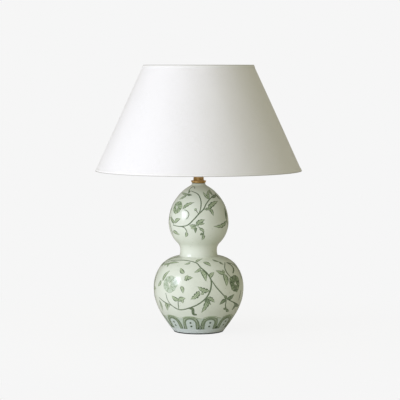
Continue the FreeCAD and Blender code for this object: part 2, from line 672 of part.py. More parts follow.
def make_terminals():
    """Two brass blocks under the core, each with a screw head facing down."""
    blocks = []
    heads = []
    for side, sign in (("front", "-"), ("back", "")):
        block = doc.addObject("Part::Box", f"terminal_{side}")
        for edge in ("Length", "Width", "Height"):
            bind(block, edge, "terminal_size")
        bind(block, "Placement.Base.x", "-terminal_size / 2")
        bind(block, "Placement.Base.y", f"{sign}terminal_offset - terminal_size / 2")
        bind(block, "Placement.Base.z", "core_foot - terminal_size")
        blocks.append(block)
        head = doc.addObject("Part::Cylinder", f"terminal_screw_{side}")
        bind(head, "Radius", "screw_radius")
        bind(head, "Height", "screw_height")
        bind(head, "Placement.Base.y", f"{sign}terminal_offset")
        bind(head, "Placement.Base.z", "core_foot - terminal_size - screw_height")
        heads.append(head)
    for name, pieces in (("terminal_blocks", blocks), ("terminal_screws", heads)):
        group = doc.addObject("Part::Compound", name)
        group.Links = pieces
        group.Label = name
        parts[name] = group


def make_switch_bar():
    """Push-through bar with a rounded button at each end, along X."""
    left = "-cup_radius - bar_reach - bar_button_length"
    right = "cup_radius + bar_reach + bar_travel + bar_button_length"
    body = turned("switch_bar", [
        ("0", left), ("bar_button_radius - bar_button_round", left, ("bar_button_round", "left")),
        ("bar_button_radius", f"{left} + bar_button_round"),
        ("bar_button_radius", f"{left} + bar_button_length"),
        ("bar_radius", f"{left} + bar_button_length"), ("bar_radius", f"{right} - bar_button_length"),
        ("bar_button_radius", f"{right} - bar_button_length"),
        ("bar_button_radius", f"{right} - bar_button_round", ("bar_button_round", "left")),
        ("bar_button_radius - bar_button_round", right), ("0", right)])
    body.Placement.Rotation = FreeCAD.Rotation(FreeCAD.Vector(0, 1, 0), 90)
    bind(body, "Placement.Base.z", "bar_axis")


def make_shade_rings():
    """The two knurled rings that clamp the carrier's collar on the threaded sleeve."""
    for name, foot in (("shade_ring_lower", "clamp_foot"), ("shade_ring_upper", "collar_top")):
        body = turned(name, [
            ("sleeve_radius + thread_gap", foot), ("clamp_radius - clamp_bevel", foot),
            ("clamp_radius", f"{foot} + clamp_bevel"),
            ("clamp_radius", f"{foot} + clamp_height - clamp_bevel"),
            ("clamp_radius - clamp_bevel", f"{foot} + clamp_height"),
            ("sleeve_radius + thread_gap", f"{foot} + clamp_height")])
        notch = sketch_on(body, "XY_Plane", "grip_outline", foot)
        circle_on(notch, "clamp_radius + clamp_notch_depth", "0", "clamp_notch")
        doc.recompute()
        cut = body.newObject("PartDesign::Pocket", "grip")
        cut.Profile = notch
        cut.Reversed = True
        bind(cut, "Length", "clamp_height")
        doc.recompute()
        grips = body.newObject("PartDesign::PolarPattern", "grips")
        grips.Originals = [cut]
        grips.Axis = (notch, ["N_Axis"])
        grips.Angle = 360
        bind(grips, "Occurrences", "clamp_notches")
        body.Tip = grips


def wire_ring(name, radius, height, wire):
    ring = doc.addObject("Part::Torus", name)
    bind(ring, "Radius1", radius)
    bind(ring, "Radius2", wire)
    bind(ring, "Placement.Base.z", height)
    ring.Label = name
    parts[name] = ring


def bent_wire(name, wire, corners, bend, copes):
    """A wire along straight runs with a bend at each inner corner, in the XZ plane.

    corners are (radius, height) formulas, and the first run leaves the first corner upwards or
    outwards. copes are the (radius, height, wire) of the rings that its ends are fitted round.
    """
    body = new_body(name)
    path = sketch_on(body, "XZ_Plane", "path")
    points = [FreeCAD.Vector(measure(across), measure(up), 0) for across, up in corners]
    radius = measure(bend)
    reached = points[0]
    previous = None
    for index in range(1, len(points) - 1):
        arrive = (points[index] - points[index - 1]).normalize()
        leave = (points[index + 1] - points[index]).normalize()
        turn = arrive.getAngle(leave)
        left = arrive.x * leave.y - arrive.y * leave.x > 0
        setback = radius * math.tan(turn / 2)
        start = points[index] - arrive * setback
        stop = points[index] + leave * setback
        run = path.addGeometry(Part.LineSegment(reached, start))
        curve = path.addGeometry(arc_between(start, stop, radius, left))
        ends = (1, 2) if left else (2, 1)
        if previous is None:
            place_point(path, run, 1, *corners[0])
        else:
            path.addConstraint(Sketcher.Constraint("Tangent", previous[0], previous[1], run, 1))
            path.addConstraint(Sketcher.Constraint("PointOnObject", corner, 1, run))
        path.addConstraint(Sketcher.Constraint("Tangent", run, 2, curve, ends[0]))
        rule = path.addConstraint(Sketcher.Constraint("Radius", curve, radius))
        bind(path, f"Constraints[{rule}]", bend)
        corner = path.addGeometry(Part.Point(points[index]), True)
        place_point(path, corner, 1, *corners[index])
        path.addConstraint(Sketcher.Constraint("PointOnObject", corner, 1, run))
        previous = (curve, ends[1])
        reached = stop
    run = path.addGeometry(Part.LineSegment(reached, points[-1]))
    path.addConstraint(Sketcher.Constraint("Tangent", previous[0], previous[1], run, 1))
    path.addConstraint(Sketcher.Constraint("PointOnObject", corner, 1, run))
    place_point(path, run, 2, *corners[-1])
    section = section_sketch(body, corners, wire)
    doc.recompute()
    pipe = body.newObject("PartDesign::AdditivePipe", "wire")
    pipe.Profile = section
    pipe.Spine = (path, [""])
    doc.recompute()
    for number, (ring, height, thick) in enumerate(copes):
        cope_body(body, number, ring, height, thick)
    return body


def section_sketch(body, corners, wire):
    """The wire's round section where its path starts, square to the first run."""
    if corners[0][0] == corners[1][0]:
        section = sketch_on(body, "XY_Plane", "section", corners[0][1])
        circle_on(section, corners[0][0], "0", wire)
    else:
        section = sketch_on(body, "YZ_Plane", "section", corners[0][0])
        circle_on(section, "0", corners[0][1], wire)
    return section


def cope_body(body, number, ring, height, thick):
    """Cut the body's end to fit round a ring of round wire."""
    outline = sketch_on(body, "XZ_Plane", f"cope_outline_{number}")
    circle_on(outline, ring, height, f"{thick} + thread_gap")
    before = body.Shape.Volume
    groove = body.newObject("PartDesign::Groove", f"cope_{number}")
    groove.Profile = outline
    groove.ReferenceAxis = (outline, ["V_Axis"])
    groove.Angle = 360
    doc.recompute()
    if not body.Shape.Volume < before:
        raise ValueError(f"cope {number} of {body.Label} cuts nothing")


def turn_to(body, angle):
    body.Placement.Rotation = FreeCAD.Rotation(FreeCAD.Vector(0, 0, 1), angle)


def make_carrier():
    """Collar, four bowed legs and a top ring, brazed together."""
    turned("carrier_collar", [
        ("sleeve_radius + collar_gap", "collar_foot"), ("collar_radius", "collar_foot"),
        ("collar_radius", "collar_top"), ("sleeve_radius + collar_gap", "collar_top")])
    wire_ring("carrier_ring", "carrier_ring_radius", "carrier_ring_height", "carrier_wire")
    for number, angle in enumerate(LEG_ANGLES, start=1):
        leg = bent_wire(f"carrier_leg_{number}", "carrier_wire", [
            ("leg_radius", "collar_top"), ("leg_radius", "collar_top + leg_low"),
            ("carrier_ring_radius", "carrier_ring_height - leg_high"),
            ("carrier_ring_radius", "carrier_ring_height")], "leg_bend",
            [("carrier_ring_radius", "carrier_ring_height", "carrier_wire")])
        turn_to(leg, angle)


def make_shade():
    """Cover, two wire rings, two rolled hems, the seat ring and its three arms."""
    def edge(height, inset):
        return f"shade_bottom_radius - lean * ({height} - shade_foot) - ({inset})"

    low = "shade_foot + hem_thick"
    high = "shade_head - hem_thick"
    skin = "hem_thick + shade_cover_thick"
    turned("shade_cover", [
        (edge(low, skin), low), (edge(low, "hem_thick"), low),
        (edge(high, "hem_thick"), high), (edge(high, skin), high)])
    lip = "shade_foot + hem_height"
    turned("shade_bottom_hem", [
        ("low_wire_radius", "shade_foot"), (edge("shade_foot", "0"), "shade_foot"),
        (edge(lip, "0"), lip), (edge(lip, "hem_thick"), lip), (edge(low, "hem_thick"), low),
        ("low_wire_radius", low)])
    brim = "shade_head - hem_height"
    turned("shade_top_hem", [
        ("high_wire_radius", high), (edge(high, "hem_thick"), high),
        (edge(brim, "hem_thick"), brim), (edge(brim, "0"), brim),
        (edge("shade_head", "0"), "shade_head"), ("high_wire_radius", "shade_head")])
    wire_ring("shade_bottom_ring", "low_wire_radius", "low_wire_height", "shade_wire")
    wire_ring("shade_top_ring", "high_wire_radius", "high_wire_height", "shade_wire")
    wire_ring("shade_seat_ring", "seat_radius", "seat_height", "shade_wire")
    for number, angle in enumerate(ARM_ANGLES, start=1):
        arm = bent_wire(f"shade_arm_{number}", "arm_wire", [
            ("seat_radius", "seat_height"), ("high_wire_radius - arm_fall", "seat_height"),
            ("high_wire_radius", "high_wire_height")], "arm_bend",
            [("seat_radius", "seat_height", "shade_wire"),
             ("high_wire_radius", "high_wire_height", "shade_wire")])
        turn_to(arm, angle)


def make_bulb():
    """Globe, screw cap, insulator and contact."""
    neck = "glass_neck_radius"
    inner = "glass_radius - glass_wall"
    # the globe meets the hollow arc of the neck where the two arcs touch
    reach = "(glass_radius + glass_neck_curve)"
    fall = f"sqrt({reach} ^ 2 - ({neck} + glass_neck_curve) ^ 2)"
    touch = f"({neck} + glass_neck_curve) * glass_radius / {reach}"
    touch_height = f"globe_centre - {fall} * glass_radius / {reach}"
    neck_top = f"globe_centre - {fall}"
    in_touch = f"({neck} + glass_neck_curve) * ({inner}) / {reach}"
    in_touch_height = f"globe_centre - {fall} * ({inner}) / {reach}"
    foot = "cap_shell_top - glass_wall"
    turned("bulb_glass", [
        (neck + " - glass_wall", foot), (neck, foot),
        (neck, neck_top, ("glass_neck_curve", "right")),
        (touch, touch_height, ("glass_radius", "left")),
        ("glass_radius", "globe_centre", ("glass_radius", "left")),
        ("0", "globe_top"), ("0", "globe_top - glass_wall", (inner, "right")),
        (inner, "globe_centre", (inner, "right")),
        (in_touch, in_touch_height, ("glass_neck_curve + glass_wall", "left")),
        (neck + " - glass_wall", neck_top)])
    shell = "cap_shell_radius - cap_shell_wall"
    turned("bulb_cap", [
        (shell, "cap_shell_foot"), ("cap_shell_radius", "cap_shell_foot"),
        ("cap_shell_radius", "cap_shell_top"), (neck + " + thread_gap", "cap_shell_top"),
        (neck + " + thread_gap", "cap_shell_top - glass_wall"), (shell, "cap_shell_top - glass_wall")])
    turned("bulb_insulator", [
        ("0", "taper_foot"), ("cap_tip_radius + cap_taper_foot", "taper_foot"),
        ("cap_shell_radius - cap_taper_inset", "cap_shell_foot"), ("0", "cap_shell_foot")])
    turned("bulb_contact", [
        ("0", "tip_foot"), ("cap_tip_radius - cap_tip_bevel", "tip_foot"),
        ("cap_tip_radius", "tip_foot + cap_tip_bevel"), ("cap_tip_radius", "taper_foot"),
        ("0", "taper_foot")])


make_gourd()
make_foot()
make_rod()
make_flex_bush()
make_neck()
make_lampholder()
make_shade_rings()
make_carrier()
make_shade()
make_bulb()
doc.recompute()

for thing in doc.Objects:
    if "Invalid" in thing.State or "Error" in thing.State:
        raise ValueError(f"{thing.Name} failed: {thing.State}")
for name, part in parts.items():
    if part.Shape.isNull() or not part.Shape.isValid() or not part.Shape.Solids:
        raise ValueError(f"{name} has no valid solid")
os.makedirs("parts", exist_ok=True)
for name, part in parts.items():
    part.Shape.exportStep(f"parts/{name}.step")
    box = part.Shape.BoundBox
    print(f"{name:20s} {len(part.Shape.Solids)} solid  z {box.ZMin:8.2f} {box.ZMax:8.2f}  "
          f"across {box.XLength:7.2f}  volume {part.Shape.Volume:12.1f}")
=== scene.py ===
"""Double gourd table lamp: glazed painted body, aged brass, linen shade, screw lampholder, bulb."""

import json
import math

import bpy
import numpy as np
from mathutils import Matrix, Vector


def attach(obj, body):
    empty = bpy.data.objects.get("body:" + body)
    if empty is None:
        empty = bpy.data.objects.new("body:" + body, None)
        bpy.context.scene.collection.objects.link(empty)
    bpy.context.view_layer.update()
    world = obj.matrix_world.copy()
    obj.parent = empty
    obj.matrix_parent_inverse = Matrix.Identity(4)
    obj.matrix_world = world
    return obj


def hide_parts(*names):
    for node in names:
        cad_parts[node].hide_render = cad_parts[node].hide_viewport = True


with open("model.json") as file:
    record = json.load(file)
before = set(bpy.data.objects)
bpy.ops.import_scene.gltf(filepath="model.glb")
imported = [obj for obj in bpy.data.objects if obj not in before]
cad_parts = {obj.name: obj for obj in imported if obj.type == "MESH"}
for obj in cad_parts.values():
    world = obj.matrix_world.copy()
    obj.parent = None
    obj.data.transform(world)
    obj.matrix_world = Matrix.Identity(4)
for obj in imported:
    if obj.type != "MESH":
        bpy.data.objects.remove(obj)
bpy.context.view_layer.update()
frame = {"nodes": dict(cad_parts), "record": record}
MM = 0.001
SEED = 11

# ---- the photograph's camera: a long lens, level with the shade's top, looking slightly down ----

IMAGE = 400
FOCAL_PIXELS = 1828
SENSOR = 36.0
CAMERA_AWAY = 3.976
CAMERA_HEIGHT = 0.5815
AIM_HEIGHT = 0.2879
BODY_LINE_PIXEL = 198.6
CAMERA_SIDE = (IMAGE / 2 - BODY_LINE_PIXEL) * CAMERA_AWAY / FOCAL_PIXELS


# ---- sizes in mm, the same as the CAD's ----

WALL = 6.0
FOOT = (55.5, 2.5)
FOOT_BREAK = 41.0
BELLY = (98.2, 97.5)
BELLY_LOW_CURVE = 107.0
BELLY_HIGH_CURVE = 79.5
SHOULDER_BREAK = 138.5
CREASE = (42.0, 166.0)
WAIST = (39.9, 179.0)
WAIST_HOLLOW = 22.5
UPPER = (65.2, 239.5)
NECK_HOLLOW = 5.9
NECK = (14.4, 325.0)
RECESS_RADIUS = 46.0
FLOOR_UNDER = 16.0
ROD_HOLE = 5.05
CAVITY_FOOT = 61.0
FLEX_HEIGHT = 14.5
FLEX_HOLE = 6.05
FLEX_SEAT = (7.45, 58.0)
FLEX_WAY = (40.0, 80.0)
SHADE_FOOT = 352.0
SHADE_HEIGHT = 230.0
SHADE_HEAD = SHADE_FOOT + SHADE_HEIGHT
SHADE_BOTTOM = 225.0
SHADE_TOP = 120.0
HEM = 0.6
COVER = 1.1
HEM_HEIGHT = 6.0
WIRE_INSET = 4.2


# ---- mesh helpers ----

def new_object(name, points, faces, smooth=True):
    """A mesh object from an array of points in metres and a list or array of faces."""
    mesh = bpy.data.meshes.new(name)
    mesh.from_pydata(np.asarray(points, float).tolist(), [], [list(face) for face in faces])
    mesh.polygons.foreach_set("use_smooth", [smooth] * len(mesh.polygons))
    mesh.update()
    thing = bpy.data.objects.new(name, mesh)
    bpy.context.scene.collection.objects.link(thing)
    return thing


def grid_faces(rows, columns, closed_rows=False, closed_columns=False):
    """Quads of a grid of points numbered row by row, joined round where closed."""
    down = np.arange(rows if closed_rows else rows - 1)
    along = np.arange(columns if closed_columns else columns - 1)
    i, j = np.meshgrid(down, along, indexing="ij")
    below = (i + 1) % rows
    beside = (j + 1) % columns
    corners = [i * columns + j, i * columns + beside, below * columns + beside, below * columns + j]
    return np.stack(corners, axis=-1).reshape(-1, 4)


def slab_faces(rows, columns):
    """Faces of a closed slab: a grid, the same grid under it facing down, and a wall round both."""
    grid = np.arange(rows * columns).reshape(rows, columns)
    ring = np.concatenate([grid[0, :-1], grid[:-1, -1], grid[-1, :0:-1], grid[:0:-1, 0]])
    after = np.roll(ring, -1)
    faces = grid_faces(rows, columns)
    wall = np.stack([ring + rows * columns, after + rows * columns, after, ring], axis=1)
    return np.concatenate([faces, faces[:, ::-1] + rows * columns, wall])


def set_values(thing, name, values):
    """A float attribute on the mesh's points."""
    attribute = thing.data.attributes.new(name, "FLOAT", "POINT")
    attribute.data.foreach_set("value", np.asarray(values, np.float32).ravel())


def turned(name, outline, segments=160, smooth=True):
    """A closed outline of (radius, height) in mm, anticlockwise, turned about the Z axis.

    Point (i, j) is the outline's point i turned by j of the equal steps of a full turn.
    """
    outline = np.asarray(outline, float) * MM
    turn = np.linspace(0, 2 * np.pi, segments, endpoint=False)
    across = outline[:, :1] * np.cos(turn)
    deep = outline[:, :1] * np.sin(turn)
    up = np.repeat(outline[:, 1:], segments, axis=1)
    points = np.stack([across, deep, up], axis=-1).reshape(-1, 3)
    return new_object(name, points, grid_faces(len(outline), segments, True, True), smooth)


def rounded(corners, radius, steps=4):
    """The closed outline with each corner rounded by a quadratic curve of about this radius."""
    corners = np.asarray(corners, float)
    before = np.roll(corners, 1, axis=0)
    after = np.roll(corners, -1, axis=0)
    reach = [np.minimum(radius, np.linalg.norm(side - corners, axis=1) / 2.2) for side in (before, after)]
    start = corners + (before - corners) * (reach[0] / np.linalg.norm(before - corners, axis=1))[:, None]
    stop = corners + (after - corners) * (reach[1] / np.linalg.norm(after - corners, axis=1))[:, None]
    t = np.linspace(0, 1, steps)[None, :, None]
    curve = start[:, None] * (1 - t) ** 2 + corners[:, None] * 2 * t * (1 - t) + stop[:, None] * t ** 2
    return curve.reshape(-1, 2)


# ---- materials: colours as sRGB hex, pattern sizes in mm ----

METRE = 1000.0
GLAZE_PALE = "#E4E9D8"
GLAZE_DEEP = "#DBE1CE"
GLAZE_FOOT = "#D6DED7"
LEAF_PALE = "#CBD8B5"
LEAF_GREEN = "#90A17E"
LEAF_DARK = "#495A3E"
PANEL_BLUE = "#CFDACF"
FOOT_TONE = (12.0, 26.0)
POOL_SIZE = 60
PINHOLE_SIZE = 1.6
RIPPLE_SIZE = 9
TARNISH_SIZE = 5
WEAR_SIZE = 2.5
# mm of dark brown at the brass cap's foot: tarnish and painted shade together
CORNER_TARNISH_AND_SHADE = 2.2
TOOL_MARK = 0.4
THREAD = 0.625
SLUB = 11.1
CLOUD_SIZE = 45
RIB_SIZE = 1.2
HAZE_SIZE = 12
BRUSH_CLOUD = 3.2
BRUSH_STREAK = 0.9
SHADE_MEAN_RADIUS = 172.0
LINEN_THROUGH = 0.16
# half height in mm of the painted shade line along each folded hem edge
FOLD_SHADE = 1.3
COLOURS = {"data_type": "RGBA"}
FINE_NOISE = {"Detail": 3.0, "Roughness": 0.55}
SOFT_NOISE = {"Detail": 1.0, "Roughness": 0.55}
WET_GLAZE = {"Roughness": 0.2, "Coat_Weight": 0.35, "Coat_Roughness": 0.1}


def linear(code):
    """An sRGB hex colour as linear red, green, blue and alpha 1."""
    channels = np.array([int(code[place:place + 2], 16) for place in (1, 3, 5)]) / 255
    low = channels / 12.92
    high = ((channels + 0.055) / 1.055) ** 2.4
    return (*np.where(channels <= 0.04045, low, high).tolist(), 1.0)


def add(tree, kind, settings=None, out=0, **links):
    """The output out of a new node of this kind. settings are its properties.

    links are input values or sockets, an input named with underscores for spaces, or in0,
    in1 ... by its place.
    """
    node = tree.nodes.new("ShaderNode" + kind)
    for key, value in (settings or {}).items():
        setattr(node, key, value)
    for key, value in links.items():
        if key.startswith("in") and key[2:].isdigit():
            socket = node.inputs[int(key[2:])]
        else:
            socket = node.inputs[key.replace("_", " ")]
        if isinstance(value, bpy.types.NodeSocket):
            tree.links.new(value, socket)
        else:
            socket.default_value = value
    return node.outputs[out] if node.outputs else node


def new_material(name):
    """A new material, its empty tree and the object coordinates in metres."""
    made = bpy.data.materials.new(name)
    made.use_nodes = True
    made.node_tree.nodes.clear()
    return made, made.node_tree, add(made.node_tree, "TexCoord", out="Object")


def mottled(tree, place, size_mm, low, high, first, second, detail=3.0):
    """Two colours blended by noise about size_mm across, where it runs from low to high."""
    cloud = add(tree, "TexNoise", Vector=place, Scale=METRE / size_mm, Detail=detail, Roughness=0.55)
    share = add(tree, "MapRange", Value=cloud, From_Min=low, From_Max=high)
    return add(tree, "Mix", COLOURS, out=2, in0=share, in6=first, in7=second)


def celadon_glaze():
    """Clear gloss glaze fired over pale celadon slip: wet highlights, faint pooling, pinholes."""
    made, tree, place = new_material("celadon_glazed_stoneware")
    ground = mottled(tree, place, POOL_SIZE, 0.35, 0.65, linear(GLAZE_PALE), linear(GLAZE_DEEP))
    height = add(tree, "SeparateXYZ", out="Z", Vector=place)
    above = add(tree, "MapRange", Value=height, From_Min=FOOT_TONE[0] * MM,
                From_Max=FOOT_TONE[1] * MM)
    ground = add(tree, "Mix", COLOURS, out=2, in0=above, in6=linear(GLAZE_FOOT), in7=ground)
    base = mottled(tree, place, PINHOLE_SIZE, 0.80, 0.86, ground, linear("#9AA08A"), detail=0.0)
    ripple = add(tree, "TexNoise", Vector=place, Scale=METRE / RIPPLE_SIZE, **SOFT_NOISE)
    normal = add(tree, "Bump", Height=ripple, Distance=0.06 * MM)
    surface = add(tree, "BsdfPrincipled", Base_Color=base, Normal=normal, **WET_GLAZE)
    add(tree, "OutputMaterial", Surface=surface)
    return made


def brushed_underglaze():
    """Green underglaze colour laid on with a soft brush: dark wet edges, thin streaky middles."""
    made, tree, place = new_material("painted_underglaze")
    ink = add(tree, "Attribute", {"attribute_name": "ink"}, out="Fac")
    tint = add(tree, "Attribute", {"attribute_name": "tint"}, out="Fac")
    cloud = add(tree, "TexNoise", Vector=place, Scale=METRE / BRUSH_CLOUD, Detail=2.0, Roughness=0.55)
    streak = add(tree, "TexNoise", Vector=place, Scale=METRE / BRUSH_STREAK, **SOFT_NOISE)
    uneven = add(tree, "Math", {"operation": "MULTIPLY_ADD"}, in0=cloud, in1=0.5, in2=ink)
    uneven = add(tree, "Math", {"operation": "MULTIPLY_ADD"}, in0=streak, in1=0.18, in2=uneven)
    washed = add(tree, "MapRange", Value=uneven, From_Min=0.34, From_Max=1.34)
    to_green = add(tree, "MapRange", Value=washed, From_Max=0.5)
    to_dark = add(tree, "MapRange", Value=washed, From_Min=0.5)
    pale = add(tree, "Mix", COLOURS, out=2, in0=tint, in6=linear(LEAF_PALE), in7=linear(PANEL_BLUE))
    middle = add(tree, "Mix", COLOURS, out=2, in0=to_green, in6=pale, in7=linear(LEAF_GREEN))
    base = add(tree, "Mix", COLOURS, out=2, in0=to_dark, in6=middle, in7=linear(LEAF_DARK))
    surface = add(tree, "BsdfPrincipled", Base_Color=base, **WET_GLAZE)
    add(tree, "OutputMaterial", Surface=surface)
    return made


def aged_brass():
    """Turned brass left to tarnish under lacquer: warm gold, brown in streaks, and dark brown along its foot
    where it meets the neck, tarnish and painted shade together.
    """
    made, tree, place = new_material("antique_brass")
    gold = mottled(tree, place, TARNISH_SIZE, 0.38, 0.66, linear("#F2C88A"), linear("#B9874A"), detail=4.0)
    height = add(tree, "SeparateXYZ", out="Z", Vector=place)
    # tarnish and painted shade: dark brown over the lowest few mm above the neck's top, where the cap meets
    # the glaze
    above_tarnish_and_shade = add(tree, "MapRange", Value=height, From_Min=NECK[1] * MM,
                From_Max=(NECK[1] + CORNER_TARNISH_AND_SHADE) * MM)
    base = add(tree, "Mix", COLOURS, out=2, in0=above_tarnish_and_shade, in6=linear("#4E361B"), in7=gold)
    wear = add(tree, "TexNoise", Vector=place, Scale=METRE / WEAR_SIZE, **FINE_NOISE)
    rough = add(tree, "MapRange", Value=wear, From_Min=0.3, From_Max=0.7, To_Min=0.26,
                To_Max=0.42)
    marks = add(tree, "TexNoise", {"noise_dimensions": "1D"}, W=height,
                Scale=METRE / TOOL_MARK, Detail=1.0)
    normal = add(tree, "Bump", Height=marks, Distance=0.02 * MM, Strength=0.5)
    surface = add(tree, "BsdfPrincipled", Base_Color=base, Metallic=1.0, Roughness=rough,
                  Normal=normal)
    add(tree, "OutputMaterial", Surface=surface)
    return made


def linen():
    """Undyed linen laminated to stiff card: crossed slubby threads, matt, a little warm.

    Threads stand THREAD apart. Their slubs are drawn SLUB long, as long as shows in the render.
    """
    made, tree, place = new_material("laminated_linen")
    parts = add(tree, "SeparateXYZ", Vector=place).node.outputs
    turn = add(tree, "Math", {"operation": "ARCTAN2"}, in0=parts["Y"], in1=parts["X"])
    way = add(tree, "Math", {"operation": "MULTIPLY"}, in0=turn, in1=SHADE_MEAN_RADIUS * MM)
    cloth = add(tree, "CombineXYZ", X=way, Y=parts["Z"])
    long_way, close_way = METRE / SLUB, METRE / THREAD
    wide = add(tree, "Mapping", Vector=cloth, Scale=(long_way, close_way, 1.0))
    tall = add(tree, "Mapping", Vector=cloth, Scale=(close_way, long_way, 1.0))
    weft = add(tree, "TexNoise", Vector=wide, Scale=1.0, Detail=2.0)
    warp = add(tree, "TexNoise", Vector=tall, Scale=1.0, Detail=2.0)
    weave = add(tree, "Math", {"operation": "ADD"}, in0=weft, in1=warp)
    raised = add(tree, "MapRange", Value=weave, From_Min=0.75, From_Max=1.25)
    threads = add(tree, "Mix", COLOURS, out=2, in0=raised, in6=linear("#F3F2EE"), in7=linear("#FCFBF9"))
    base = mottled(tree, place, CLOUD_SIZE, 0.3, 0.7, threads, linear("#F9F8F5"))
    normal = add(tree, "Bump", Height=weave, Distance=0.22 * MM, Strength=0.8)
    face = add(tree, "BsdfPrincipled", Base_Color=base, Roughness=0.9, Sheen_Weight=0.15,
               Specular_IOR_Level=0.25, Normal=normal)
    through = add(tree, "BsdfTranslucent", Color=base)
    surface = add(tree, "MixShader", in0=LINEN_THROUGH, in1=face, in2=through)
    add(tree, "OutputMaterial", Surface=surface)
    return made


def hem_tape():
    """Cotton tape folded over the wire rings: the linen's white, with painted shade in grey along the fold at
    each edge.
    """
    made, tree, place = new_material("cotton_hem_tape")
    ribs = add(tree, "TexNoise", Vector=place, Scale=METRE / RIB_SIZE, **SOFT_NOISE)
    cotton = add(tree, "Mix", COLOURS, out=2, in0=ribs, in6=linear("#EAE9E4"), in7=linear("#F4F3EF"))
    height = add(tree, "SeparateXYZ", out="Z", Vector=place)
    # painted shade: a thin grey band at the shade's foot and head, where the tape turns under
    near = [add(tree, "Math", {"operation": "COMPARE"}, in0=height, in1=edge * MM, in2=FOLD_SHADE * MM)
            for edge in (SHADE_FOOT, SHADE_HEAD)]
    fold_shade = add(tree, "Math", {"operation": "MAXIMUM"}, in0=near[0], in1=near[1])
    base = add(tree, "Mix", COLOURS, out=2, in0=fold_shade, in6=cotton, in7=linear("#B9B8B0"))
    normal = add(tree, "Bump", Height=ribs, Distance=0.15 * MM)
    surface = add(tree, "BsdfPrincipled", Base_Color=base, Roughness=0.85,
                  Sheen_Weight=0.2, Normal=normal)
    add(tree, "OutputMaterial", Surface=surface)
    return made


def plain(name, code, second, roughness, metallic=0.0, size_mm=4, depth_mm=0.02, sheen=0.0):
    """A finish of two near colours in a fine mottle, with a matching bump and roughness."""
    made, tree, place = new_material(name)
    mottle = add(tree, "TexNoise", Vector=place, Scale=METRE / size_mm, **FINE_NOISE)
    share = add(tree, "MapRange", Value=mottle, From_Min=0.35, From_Max=0.65)
    base = add(tree, "Mix", COLOURS, out=2, in0=share, in6=linear(code), in7=linear(second))
    rough = add(tree, "MapRange", Value=mottle, From_Min=0.3, From_Max=0.7,
                To_Min=roughness * 0.85, To_Max=roughness * 1.15)
    normal = add(tree, "Bump", Height=mottle, Distance=depth_mm * MM)
    surface = add(tree, "BsdfPrincipled", Base_Color=base, Metallic=metallic,
                  Roughness=rough, Sheen_Weight=sheen, Normal=normal)
    add(tree, "OutputMaterial", Surface=surface)
    return made


def frosted_glass():
    """Bulb glass etched inside: smooth outside, milky, letting a soft light through."""
    made, tree, place = new_material("etched_bulb_glass")
    haze = mottled(tree, place, HAZE_SIZE, 0.3, 0.7, linear("#F7F5EE"), linear("#EDEBE3"))
    surface = add(tree, "BsdfPrincipled", Base_Color=haze, Roughness=0.22,
                  Transmission_Weight=0.35, Coat_Weight=0.6)
    add(tree, "OutputMaterial", Surface=surface)
    return made


# ---- gourd: its side is a chain of arcs ----

SIDE_STEP = 2.2
FINE_STEP = 0.4
CAVITY_STEP = 9
GOURD_SEGMENTS = 288
RIM_ROUND = 0.6
DRILL_SIDES = 48


def arc(centre, begin, finish, step):
    """Points along the shorter arc about centre from begin to finish, about step mm apart."""
    start = math.atan2(begin[1] - centre[1], begin[0] - centre[0])
    stop = math.atan2(finish[1] - centre[1], finish[0] - centre[0])
    sweep = (stop - start + math.pi) % (2 * math.pi) - math.pi
    radius = math.hypot(begin[0] - centre[0], begin[1] - centre[1])
    count = max(2, math.ceil(radius * abs(sweep) / step) + 1)
    angle = start + sweep * np.linspace(0, 1, count)
    return np.stack([centre[0] + radius * np.cos(angle), centre[1] + radius * np.sin(angle)], axis=1)


def bend_centre(start, heading, finish):
    """Centre of the arc that leaves start along heading and ends at finish."""
    normal = np.array([-heading[1], heading[0]])
    way = np.subtract(finish, start)
    return np.asarray(start) + normal * way.dot(way) / (2 * way.dot(normal))


def hollow_touch(narrow, wide, hollow):
    """Centres of the hollow arc at narrow and of the arc at wide, and where the two touch."""
    hollow_centre = np.array([narrow[0] + hollow, narrow[1]])
    across = hollow_centre[0] - wide[0]
    curve = (across ** 2 + (wide[1] - narrow[1]) ** 2 - hollow ** 2) / (2 * (hollow - across))
    centre = np.array([wide[0] - curve, wide[1]])
    way = hollow_centre - centre
    return hollow_centre, centre, centre + way / np.linalg.norm(way) * curve


